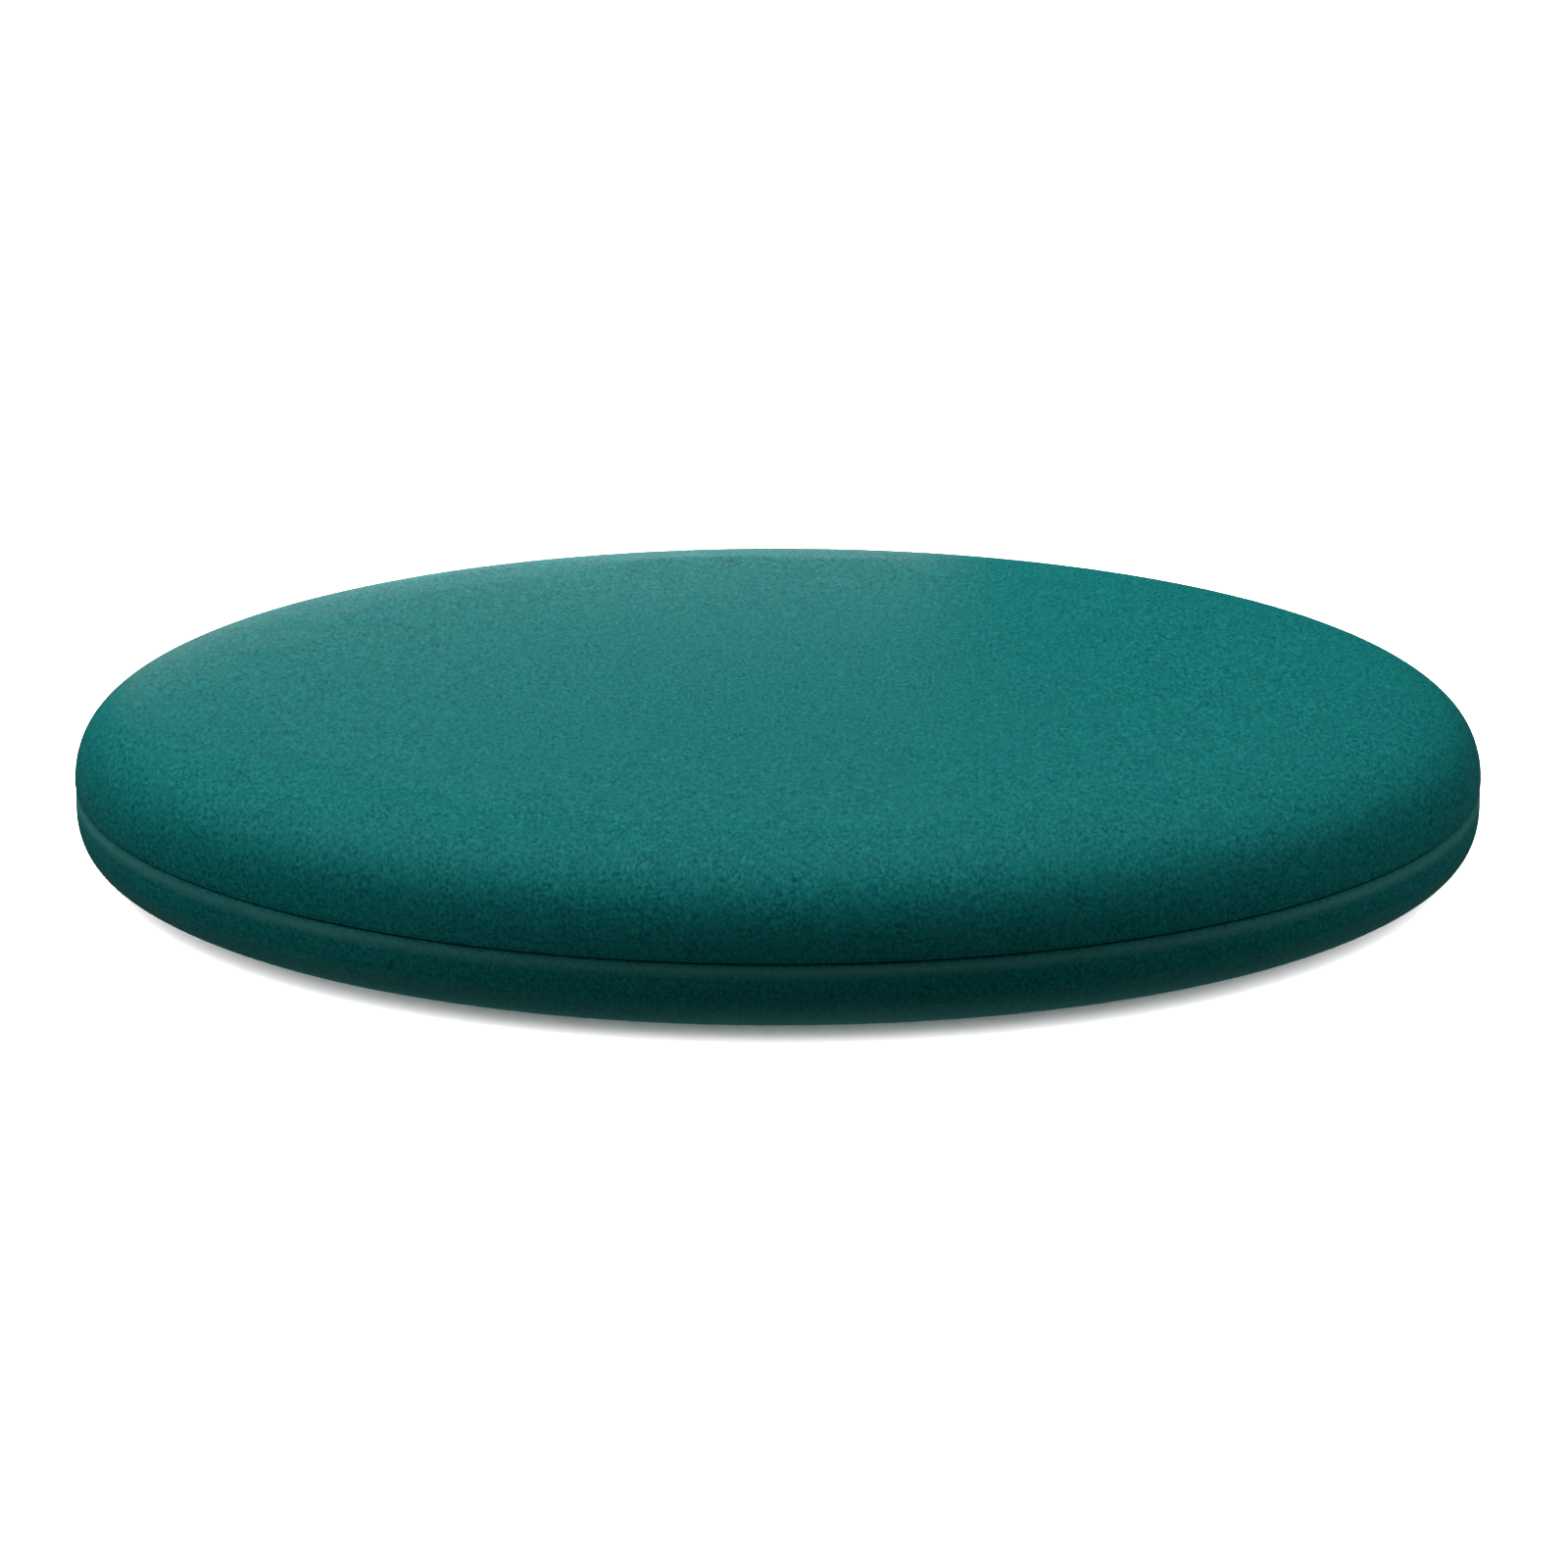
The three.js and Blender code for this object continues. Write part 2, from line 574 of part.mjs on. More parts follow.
const sliderPlace = new THREE.Group();
sliderPlace.rotation.z = radians(SLIDER_REST_ANGLE);
sliderPlace.add(slider, tab);
group.add(sliderPlace);

export default group;
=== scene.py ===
"""A round balance pad in a teal coated-fabric cover, with a curved zip at the back and a studded rubber base.

The pad stands on the floor at z = 0, and the zip is centred on +Y. Blender's lengths are in metres. Sections
are drawn in millimetres, as (radius, height) in a plane through the pad's axis. Angles are degrees about +Z,
from +X. Where a value depends on the half of the pad, 1 is the upper half and -1 the lower one.
"""

import math

import bmesh
import bpy
import numpy as np
from mathutils import Matrix, Vector, noise
from mathutils.bvhtree import BVHTree


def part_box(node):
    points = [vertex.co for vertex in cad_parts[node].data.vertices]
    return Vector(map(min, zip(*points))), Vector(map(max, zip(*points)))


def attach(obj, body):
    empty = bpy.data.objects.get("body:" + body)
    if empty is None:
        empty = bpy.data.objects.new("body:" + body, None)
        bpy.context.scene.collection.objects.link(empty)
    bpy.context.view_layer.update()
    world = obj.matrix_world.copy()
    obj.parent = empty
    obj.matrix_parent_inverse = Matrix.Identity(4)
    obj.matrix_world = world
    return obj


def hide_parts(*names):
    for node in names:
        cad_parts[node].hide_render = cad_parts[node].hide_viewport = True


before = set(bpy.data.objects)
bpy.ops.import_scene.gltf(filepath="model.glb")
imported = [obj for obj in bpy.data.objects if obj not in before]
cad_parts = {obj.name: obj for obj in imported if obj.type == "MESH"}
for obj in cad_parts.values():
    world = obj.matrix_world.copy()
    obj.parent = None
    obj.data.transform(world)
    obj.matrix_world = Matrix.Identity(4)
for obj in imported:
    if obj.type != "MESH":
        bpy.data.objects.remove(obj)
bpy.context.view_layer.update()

MM = 0.001

# ---- Places taken from the frame, in millimetres ----


def box_mm(node):
    low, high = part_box(node)
    return low / MM, high / MM


PAD_RADIUS = box_mm("upper_cover")[1].x
PAD_TOP = box_mm("upper_cover")[1].z
UNDERSIDE = box_mm("lower_cover")[0].z
SEAM_TOP = box_mm("upper_cover")[0].z
SEAM_BOTTOM = box_mm("lower_cover")[1].z
SEAM = (SEAM_TOP + SEAM_BOTTOM) / 2
BASE_RADIUS = box_mm("grip_base")[1].x
BASE_TOP = box_mm("grip_base")[1].z
FOAM_RADIUS = box_mm("core_foam")[1].x
LINER_RADIUS = box_mm("inner_liner")[1].x
ELASTIC_LOW, ELASTIC_HIGH = box_mm("liner_elastic")[0].z, box_mm("liner_elastic")[1].z
ELASTIC_RADIUS = box_mm("liner_elastic")[1].x

# ---- Driving dimensions, in millimetres and degrees ----

# The cover's outline
UPPER_BULGE = 26
LOWER_BULGE = 19
LOWER_BULGE_RADIUS = PAD_RADIUS - 0.2
LOWER_FLAT_RADIUS = 168
LOWER_FULL_RADIUS = 193
LOWER_FULL_HEIGHT = 6.5
UPPER_FULL_RADIUS = 183
UPPER_FULL_HEIGHT = 43.5
CROWN_RADIUS = 150
CROWN_DROP = 0.5
UPPER_SIDE_TOP = 36
LOWER_SIDE_BOTTOM = 13

# The cover's fabric, its seam and the rows of its mesh
FABRIC = 1.2
CREASE_DEPTH = {1: 0.8, -1: 1.0}
SEAM_REACH = {1: 1.5, -1: 2.6}
SEAM_GAP = 0.1
HEM_REACH = 1.5
LIP_RADIUS = 197
LIP_SPACE = 0.9
UNEVENNESS = 0.08
UNEVEN_LENGTH = 62.5
# Painted light on the cover: a pale painted highlight on the roll just below the seam, and a painted
# reflection of the white floor along the bottom edge. Their strengths, then their heights and widths in
# millimetres.
PAINTED_LIP_SHEEN = 0.5
PAINTED_LIP_SHEEN_BELOW = 2.4
PAINTED_LIP_SHEEN_HALF = 2.4
PAINTED_FLOOR_REFLECTION = 0.65
PAINTED_FLOOR_REFLECTION_FULL = 5.5
PAINTED_FLOOR_REFLECTION_END = 15
SIDE_ROWS = 34
ROW_CROWDING = 1.35
CROWN_RINGS = (140, 125, 105, 80, 50, 20, 0)
UNDERSIDE_RINGS = (160, 156, 150, 120, 80, 40, 0)
COLUMN_STEP = 0.6
FINE_COLUMN_STEP = 0.2
FINE_COLUMNS_WITHIN = 4

# The cloth simulation
AIR_PRESSURE = 4
SIMULATED_FRAMES = 20
VOXEL_SIZE = 5
PINNED_HEIGHT = 2.6
SWELL_LIMIT = 0.6
SEWN_SMALLER = 0.25
SAMPLE_STEP = 3.0
SAMPLE_RINGS = (130, 100, 65, 30)
SAMPLE_REACH = 40

# The zip
ZIP_MIDDLE = 90
SLOT_HALF = 5
SLOT_END = 67
SLOT_TAPER = 1.6
TAPE_INNER = 195.6
TAPE_OUTER = 196.1
TAPE_HALF_HEIGHT = 10
TAPE_END = 70
BINDING_END = TAPE_END + 0.5
CHAIN_END = 61.3
CHAIN_INNER = 196.4
CHAIN_OUTER = 197.7
CHAIN_HALF = 2.1
CHAIN_GAP = 0.16
COIL_PITCH = 1.05
COIL_INSET = 0.1
COIL_SQUARENESS = 0.6
WIRE_RADIUS = 0.3
TURN_STEPS = 12
STOP_ANGLE = 61.93
STOP_LENGTH = 2
STOP_GAP = 0.65
STOP_HALF = 2.3
STOP_OUTER = 198.1
STOP_ROUNDING = 0.45
STOP_TAPER = 0.28
STOP_PINCH = 0.16
STOP_SLICES = 12
END_TAB_NEAR = 62.6
END_TAB_FAR = 66.6
END_TAB_OUTER = 196.95

# The slider and its pull tab
SLIDER_REST = 30
SLIDER_HALF = 4.75
SLIDER_WIDE = 3.9
SLIDER_NARROW = 3.2
SLIDER_FACE = (198.0, 198.7)
SLIDER_BACK = (194.6, 195.3)
SLIDER_OVERLAP = 0.2
WEDGE_SPAN = (-4.5, -2)
WEDGE_HALF = 0.12
RIM_SPAN = (-2, 3.6)
RIM_INSIDE = 2.4
RIM_OUTSIDE = (3.15, 3.05)
RIM_RADIUS = 196.45
BRIDGE_HALF = 2.2
BRIDGE_RISE = 2.2
BRIDGE_STRIP = 0.6
BRIDGE_HALF_WIDTH = 1.0
PULL_PIVOT = 199.5
PULL_SPAN = (-0.45, 18.0)
PULL_SHOULDER = 3.4
PULL_WIDE = 2.75
PULL_NARROW = 2.365
PULL_THICK = 0.5
EYE_SPAN = (0.45, 3.2)
EYE_HALF = 1.4
HOLE_FROM_END = 3.2
HOLE_RADIUS = 1.3
RECESS_SPAN = (5.0, 11.6)
RECESS_HALF = 1.5
RECESS_FLOOR = 0.32

# The stitching
STITCH_FROM_HEM = 3
STITCH_LENGTH = 2.7
STITCH_PITCH = 3.3
STITCH_RISE = 1.6
STITCH_SINK = 0.9
THREAD_RADIUS = 0.19
FINE_THREAD = 0.11
COIL_THREAD_INSET = 0.75
GROOVE_DEPTH = 0.3
GROOVE_HALF_WIDTH = 0.9
BASE_STITCH_RADIUS = 155
TACK_PASSES = 9
TACK_HALF = 3.2
TACK_STEP = 0.06
TACK_LIFT = 0.12

# The base
STUD_RINGS = 4
STUD_SPACING = 33
STUD_RADIUS = 5
STUD_HEIGHT = 1.0
CENTRE_STUD_RADIUS = 14
BASE_RINGS = (60, 120)

# The filling
FILLING_DEPTH = 3
LINER_DEPTH = 1.8
LINER_KNIT = 0.55
LINER_PLEATS = 56
LINER_RINGS = (74, 79, 85, 92, 100, 110, 122, 136, 150, 160)
ELASTIC_WIDTH = 3

# ---- Mesh helpers ----

# How near points must be to merge, in metres
WELD = 1e-7
COVER_WELD = 1e-6


def placed(name, data):
    """A new object in the scene."""
    made = bpy.data.objects.new(name, data)
    bpy.context.scene.collection.objects.link(made)
    return made


def piece(name, points_mm, faces):
    """An object made of points in millimetres."""
    mesh = bpy.data.meshes.new(name)
    mesh.from_pydata([Vector(p) * MM for p in points_mm], [], faces)
    mesh.update()
    mesh.shade_smooth()
    return placed(name, mesh)


def finish_piece(made, slot, *stands_for, body="pad"):
    """Gives a finished piece the material of its record slot and its body, and hides the CAD nodes that it
    stands for.
    """
    made.data.materials.clear()
    made.data.materials.append(LOOKS[slot])
    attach(made, body)
    if stands_for:
        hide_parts(*stands_for)
    return made


def outward(made, weld=0.0):
    """Turns every face of a closed mesh outward. Points nearer than weld, in metres, are merged first."""
    work = bmesh.new()
    work.from_mesh(made.data)
    if weld:
        bmesh.ops.remove_doubles(work, verts=work.verts, dist=weld)
    bmesh.ops.recalc_face_normals(work, faces=work.faces)
    work.to_mesh(made.data)
    work.free()
    return made


def apply_modifiers(made):
    """Replaces the mesh with what its modifiers make of it."""
    evaluated = made.evaluated_get(bpy.context.evaluated_depsgraph_get())
    mesh = bpy.data.meshes.new_from_object(evaluated)
    made.modifiers.clear()
    made.data = mesh
    return made


def bevelled(made, width, segments=3, angle=30):
    """Rounds a piece's sharp edges. The width is in millimetres."""
    bevel = made.modifiers.new("rounded_edges", "BEVEL")
    bevel.width = width * MM
    bevel.segments = segments
    bevel.limit_method = "ANGLE"
    bevel.angle_limit = math.radians(angle)
    return crisp(apply_modifiers(made))


def crisp(made, angle=35):
    """Smooth shading, except across edges that turn by more than this angle."""
    made.data.shade_smooth()
    made.data.set_sharp_from_angle(angle=math.radians(angle))
    return made


def combined(operation, made, others):
    """Joins other closed meshes to one (UNION) or takes them out of it (DIFFERENCE), and removes them."""
    for other in others:
        change = made.modifiers.new("combine", "BOOLEAN")
        change.operation = operation
        change.solver = "EXACT"
        change.object = other
    apply_modifiers(made)
    for other in others:
        bpy.data.objects.remove(other)
    return made


def bezier(*corners, steps):
    """Points along a curve drawn by its control points, both ends included."""
    line = []
    for i in range(steps + 1):
        level = [np.array(c, float) for c in corners]
        while len(level) > 1:
            level = [a + (b - a) * i / steps for a, b in zip(level, level[1:])]
        line.append(level[0])
    return line


def grid(name, rings, closed_round, closed_along):
    """A surface from rings with equally many points. Each ring may close, and so may the row of rings."""
    count = len(rings[0])
    faces = []
    for i in range(len(rings) - (0 if closed_along else 1)):
        for k in range(count - (0 if closed_round else 1)):
            a, b = i * count, (i + 1) % len(rings) * count
            faces.append((a + k, a + (k + 1) % count, b + (k + 1) % count, b + k))
    if closed_round and not closed_along:
        faces.append(tuple(range(count))[::-1])
        faces.append(tuple(range((len(rings) - 1) * count, len(rings) * count)))
    return outward(piece(name, [p for ring in rings for p in ring], faces))


def at_angle(radius, angle, height):
    return (radius * math.cos(math.radians(angle)), radius * math.sin(math.radians(angle)), height)


def lathe(name, section, segments=240):
    """A closed section turned all the way round the axis. A radius of 0 is a point on the axis."""
    angles = [360 * i / segments for i in range(segments)]
    rings = [[at_angle(r, a, z) for r, z in section] for a in angles]
    return outward(grid(name, rings, True, True), WELD)


def arc_bar(name, section, start, end, step=0.5):
    """A closed section swept along the pad's side between two angles, with flat ends."""
    count = max(2, math.ceil(abs(end - start) / step))
    angles = [start + (end - start) * i / count for i in range(count + 1)]
    return grid(name, [[at_angle(r, a, z) for r, z in section] for a in angles], True, False)


def rounded_section(inner, outer, low, high, rounding, steps=3):
    """A rectangle of radius and height with round corners."""
    corners = [(outer, high, 0), (inner, high, 90), (inner, low, 180), (outer, low, 270)]
    section = []
    for r, z, first in corners:
        middle_r = r + (-rounding if r == outer else rounding)
        middle_z = z + (-rounding if z == high else rounding)
        for i in range(steps + 1):
            turn = math.radians(first + 90 * i / steps)
            section.append((middle_r + rounding * math.cos(turn), middle_z + rounding * math.sin(turn)))
    return section


def tube(name, path, radius, sides=6, widen=None):
    """A tube along a list of points in millimetres. widen gives a factor on its radius at each point."""
    rings = []
    for i, here in enumerate(path):
        before, after = path[max(i - 1, 0)], path[min(i + 1, len(path) - 1)]
        along = (Vector(after) - Vector(before)).normalized()
        across = along.cross(Vector((0, 0, 1)) if abs(along.z) < 0.95 else Vector((1, 0, 0))).normalized()
        over = across.cross(along)
        size = radius * (widen[i] if widen else 1)
        turns = [2 * math.pi * k / sides for k in range(sides)]
        rings.append([Vector(here) + (across * math.cos(t) + over * math.sin(t)) * size for t in turns])
    return grid(name, rings, True, False)


def joined(name, parts):
    """Several meshes as one object."""
    work = bmesh.new()
    for part in parts:
        work.from_mesh(part.data)
        bpy.data.objects.remove(part)
    mesh = bpy.data.meshes.new(name)
    work.to_mesh(mesh)
    work.free()
    mesh.shade_smooth()
    return placed(name, mesh)


def smoothstep(low, high, value):
    share = min(1, max(0, (value - low) / (high - low)))
    return share * share * (3 - 2 * share)


# ---- Materials ----


def add(tree, kind, inputs=None, **settings):
    """A shader node. Each input is a value, or the socket that feeds it."""
    node = tree.nodes.new(kind)
    for key, value in settings.items():
        setattr(node, key, value)
    for key, value in (inputs or {}).items():
        if isinstance(value, bpy.types.NodeSocket):
            tree.links.new(value, node.inputs[key])
        else:
            node.inputs[key].default_value = value
    return node


def calculate(tree, operation, first, second=0.0):
    return add(tree, "ShaderNodeMath", {0: first, 1: second}, operation=operation).outputs[0]


def object_place(tree):
    return add(tree, "ShaderNodeTexCoord").outputs["Object"]


def place_round_pad(tree):
    """A point's place as (distance along the pad's side, height, 0), so that a pattern follows the side."""
    split = add(tree, "ShaderNodeSeparateXYZ", {0: object_place(tree)}).outputs
    angle = calculate(tree, "ARCTAN2", split["Y"], split["X"])
    along = calculate(tree, "MULTIPLY", angle, PAD_RADIUS * MM)
    return add(tree, "ShaderNodeCombineXYZ", {"X": along, "Y": split["Z"]}).outputs[0]


def speckle(tree, place, size_mm, detail=2.0, roughness=0.5, distortion=0.0):
    """Noise whose spots are about that many millimetres across."""
    return add(tree, "ShaderNodeTexNoise", {
        "Vector": place, "Scale": 1 / (size_mm * MM), "Detail": detail,
        "Roughness": roughness, "Distortion": distortion,
    }).outputs["Fac"]


def stripes(tree, place, pitch_mm, direction):
    """Even stripes that repeat each pitch across the X, Y or diagonal direction."""
    return add(tree, "ShaderNodeTexWave", {
        "Vector": place, "Scale": 2 * math.pi / (20 * pitch_mm * MM), "Distortion": 0.0,
    }, bands_direction=direction).outputs["Fac"]


def spread(tree, factor, to_low, to_high, low=0.3, high=0.7):
    """A factor's range from low to high, stretched to run from to_low to to_high."""
    return add(tree, "ShaderNodeMapRange", {
        "Value": factor, "From Min": low, "From Max": high, "To Min": to_low, "To Max": to_high,
    }).outputs["Result"]


def blend_colours(tree, factor, first, second):
    """A mix of two colours, each a socket or three numbers."""
    full = [c if isinstance(c, bpy.types.NodeSocket) else (*c, 1) for c in (first, second)]
    mix = add(tree, "ShaderNodeMix", {"Factor": factor}, data_type="RGBA")
    for name, colour in zip(("A", "B"), full):
        socket = next(s for s in mix.inputs if s.name == name and s.type == "RGBA")
        if isinstance(colour, bpy.types.NodeSocket):
            tree.links.new(colour, socket)
        else:
            socket.default_value = colour
    return next(s for s in mix.outputs if s.type == "RGBA")


def raised(tree, height, distance_mm, strength, under=None):
    inputs = {"Height": height, "Distance": distance_mm * MM, "Strength": strength}
    if under:
        inputs["Normal"] = under
    return add(tree, "ShaderNodeBump", inputs).outputs["Normal"]


def surface(name, metallic=0.0, specular=0.5):
    """A new node material and its tree."""
    made = bpy.data.materials.new("look_" + name)
    made.use_nodes = True
    shader = made.node_tree.nodes["Principled BSDF"]
    shader.inputs["Metallic"].default_value = metallic
    shader.inputs["Specular IOR Level"].default_value = specular
    return made, made.node_tree


def dressed(made, colour, roughness, normal):
    """The material with these sockets fed to its shader."""
    inputs = made.node_tree.nodes["Principled BSDF"].inputs
    for key, socket in (("Base Color", colour), ("Roughness", roughness), ("Normal", normal)):
        made.node_tree.links.new(socket, inputs[key])
    return made


def painted_edge_sheen(tree, place, patches):
    """Painted highlight along the seam's lower lip and painted floor reflection along the bottom edge."""
    height = add(tree, "ShaderNodeSeparateXYZ", {0: place}).outputs["Z"]
    from_lip = calculate(tree, "ABSOLUTE", calculate(tree, "SUBTRACT", height, (SEAM - PAINTED_LIP_SHEEN_BELOW) * MM))
    # Painted highlight on the lower half's upturned roll just below the seam.
    lip = spread(tree, from_lip, PAINTED_LIP_SHEEN, 0.0, 0, PAINTED_LIP_SHEEN_HALF * MM)
    # Painted reflection of the white floor, strongest at the bottom edge and fading out higher up.
    rim = spread(tree, height, PAINTED_FLOOR_REFLECTION, 0.0, PAINTED_FLOOR_REFLECTION_FULL * MM, PAINTED_FLOOR_REFLECTION_END * MM)
    painted_sheen = calculate(tree, "MAXIMUM", lip, rim)
    # The painted light is varied a little by the random patches.
    return calculate(tree, "MULTIPLY", painted_sheen, spread(tree, patches, 0.75, 1.25))


def cover_material():
    """Matt coated fabric: grain longer along the warp, a drift of hue, paler patches, and painted sheen at
    the edges.
    """
    made, tree = surface("cover_fabric", specular=0.007)
    place = object_place(tree)
    warp = add(tree, "ShaderNodeMapping", {"Vector": place, "Scale": (1, 0.42, 1)}).outputs[0]
    grain = speckle(tree, warp, 0.95, detail=1.5, roughness=0.5, distortion=0.6)
    clumps = speckle(tree, warp, 2.4, detail=2)
    fine = speckle(tree, place, 0.45, detail=1)
    drift = speckle(tree, place, 11, detail=3)
    soil_and_sheen = speckle(tree, place, 90, detail=3)
    shade = spread(tree, grain, 0.0, 1.0)
    teal = blend_colours(tree, shade, (0.0010, 0.090, 0.091), (0.0150, 0.262, 0.250))
    teal = blend_colours(tree, spread(tree, clumps, 0.0, 0.3, 0.4, 0.65), teal, (0.0045, 0.148, 0.176))
    teal = blend_colours(tree, spread(tree, drift, 0.0, 0.3), teal, (0.0055, 0.195, 0.165))
    wear = spread(tree, soil_and_sheen, 0.0, 0.12, 0.45, 0.75)
    teal = blend_colours(tree, wear, teal, (0.012, 0.215, 0.205))
    # Painted highlight under the seam and painted floor reflection on the bottom edge, in a pale greyish
    # teal.
    teal = blend_colours(tree, painted_edge_sheen(tree, place, soil_and_sheen), teal, (0.10, 0.36, 0.33))
    rough = spread(tree, fine, 0.46, 0.62)
    pebbled = raised(tree, grain, 0.16, 0.6)
    return dressed(made, teal, rough, raised(tree, fine, 0.05, 0.45, pebbled))


def thread_material():
    """Twisted polyester thread, a shade darker than the cover."""
    made, tree = surface("sewing_thread", specular=0.3)
    place = object_place(tree)
    twist = stripes(tree, place, 0.35, "DIAGONAL")
    fluff = speckle(tree, place, 0.3)
    teal = blend_colours(tree, twist, (0.004, 0.085, 0.085), (0.010, 0.150, 0.150))
    rough = spread(tree, fluff, 0.55, 0.8)
    return dressed(made, teal, rough, raised(tree, twist, 0.05, 0.6))


def tape_material():
    """Woven zip tape: ribs along the zip crossed by fine weft, in a herringbone."""
    made, tree = surface("zip_tape", specular=0.25)
    place = place_round_pad(tree)
    ribs = stripes(tree, place, 0.55, "Y")
    weft = stripes(tree, place, 0.4, "DIAGONAL")
    weave = calculate(tree, "MULTIPLY", ribs, weft)
    patchy = speckle(tree, object_place(tree), 6, detail=3)
    dark = blend_colours(tree, patchy, (0.003, 0.060, 0.062), (0.005, 0.082, 0.084))
    colour = blend_colours(tree, weave, dark, (0.012, 0.150, 0.150))
    rough = spread(tree, patchy, 0.75, 0.92)
    return dressed(made, colour, rough, raised(tree, weave, 0.12, 0.8))


def coil_material():
    """Moulded monofilament with a satin gloss that rubbing has dulled in places."""
    made, tree = surface("zip_coil", specular=0.5)
    place = object_place(tree)
    streaks = speckle(tree, place, 2.5, detail=3)
    scuffs = speckle(tree, place, 0.4, detail=2)
    colour = blend_colours(tree, streaks, (0.005, 0.095, 0.098), (0.014, 0.185, 0.185))
    rough = spread(tree, scuffs, 0.3, 0.55)
    return dressed(made, colour, rough, raised(tree, scuffs, 0.02, 0.3))


def nickel_material():
    """Satin nickel plate with fine rubbing marks and darker, duller patches from handling."""
    made, tree = surface("zip_metal", metallic=1.0)
    place = object_place(tree)
    patches = speckle(tree, place, 3, detail=4, roughness=0.6)
    marks = speckle(tree, place, 0.25, detail=3, distortion=2.0)
    colour = blend_colours(tree, patches, (0.42, 0.42, 0.41), (0.66, 0.65, 0.63))
    rough = spread(tree, marks, 0.22, 0.42)
    return dressed(made, colour, rough, raised(tree, marks, 0.01, 0.35))


def rubber_material():
    """Matt moulded rubber with a fine spark-eroded grain and a little dust."""
    made, tree = surface("base_rubber", specular=0.35)
    place = object_place(tree)
    grain = speckle(tree, place, 0.6, detail=3)
    dust = speckle(tree, place, 25, detail=5, roughness=0.65)
    colour = blend_colours(tree, grain, (0.018, 0.022, 0.023), (0.032, 0.037, 0.038))
    colour = blend_colours(tree, spread(tree, dust, 0.0, 0.3, 0.5, 0.75), colour, (0.11, 0.11, 0.105))
    rough = spread(tree, dust, 0.6, 0.85)
    return dressed(made, colour, rough, raised(tree, grain, 0.06, 0.5))


def foam_material(name, dark, light, cell_mm):
    """Open-cell foam: round cells with pale walls."""
    made, tree = surface(name, specular=0.1)
    place = object_place(tree)
    pores = add(tree, "ShaderNodeTexVoronoi", {"Vector": place, "Scale": 1 / (cell_mm * MM)})
    cells = pores.outputs["Distance"]
    patches = speckle(tree, place, 30, detail=3)
    colour = blend_colours(tree, spread(tree, cells, 0.0, 1.0, 0.1, 0.6), dark, light)
    colour = blend_colours(tree, spread(tree, patches, 0.0, 0.3, 0.4, 0.8), colour, light)
    rough = spread(tree, cells, 0.98, 0.85, 0.0, 0.6)
    return dressed(made, colour, rough, raised(tree, cells, 0.4, 0.7))


def knit_material():
    """Fine white knit: columns of loops round the filling."""
    made, tree = surface("liner_knit", specular=0.15)
    place = object_place(tree)
    columns = stripes(tree, place_round_pad(tree), 0.9, "X")
    rows = stripes(tree, place, 0.7, "Z")
    loops = calculate(tree, "MULTIPLY", columns, rows)
    shade = speckle(tree, place, 12, detail=3)
    light = blend_colours(tree, shade, (0.72, 0.72, 0.69), (0.84, 0.84, 0.81))
    colour = blend_colours(tree, loops, (0.52, 0.52, 0.5), light)
    rough = spread(tree, shade, 0.8, 0.95)
    return dressed(made, colour, rough, raised(tree, loops, 0.2, 0.7))


LOOKS = {
    "cover_fabric": cover_material(),
    "sewing_thread": thread_material(),
    "zip_tape": tape_material(),
    "zip_coil": coil_material(),
    "zip_metal": nickel_material(),
    "base_rubber": rubber_material(),
    "firm_foam": foam_material("firm_foam", (0.20, 0.34, 0.40), (0.36, 0.50, 0.56), 1.1),
    "soft_foam": foam_material("soft_foam", (0.56, 0.52, 0.40), (0.80, 0.76, 0.62), 1.6),
    "liner_knit": knit_material(),
}

# ---- The cover ----

LOWER_EDGE = bezier(
    (LOWER_FLAT_RADIUS, UNDERSIDE), (LOWER_FULL_RADIUS, UNDERSIDE),
    (LOWER_BULGE_RADIUS, LOWER_FULL_HEIGHT), (LOWER_BULGE_RADIUS, LOWER_BULGE), steps=40,
)
SHOULDER = bezier(
    (PAD_RADIUS, UPPER_BULGE), (PAD_RADIUS, UPPER_FULL_HEIGHT),
    (UPPER_FULL_RADIUS, PAD_TOP), (CROWN_RADIUS, PAD_TOP - CROWN_DROP), steps=40,
)


def curve_radius(curve, height):
    """The radius of an edge curve at a height. Past the curve's ends it keeps the radius there."""
    ordered = sorted(curve, key=lambda p: p[1])
    return float(np.interp(height, [p[1] for p in ordered], [p[0] for p in ordered]))


def plain_half(side):
    """One half of the pad as a plain solid cut flat at the seam, remeshed into even small faces."""
    curve = SHOULDER if side > 0 else LOWER_EDGE[::-1]
    edge = (curve_radius(curve, SEAM), SEAM)
    middle = PAD_TOP if side > 0 else UNDERSIDE
    beyond = [(float(r), float(z)) for r, z in curve if abs(z - SEAM) > 1]
    made = lathe("plain_half", [(0, SEAM), edge, *beyond, (0, middle)], 180)
    even = made.modifiers.new("even_mesh", "REMESH")
    even.mode = "VOXEL"
    even.voxel_size = VOXEL_SIZE * MM
    return apply_modifiers(made)


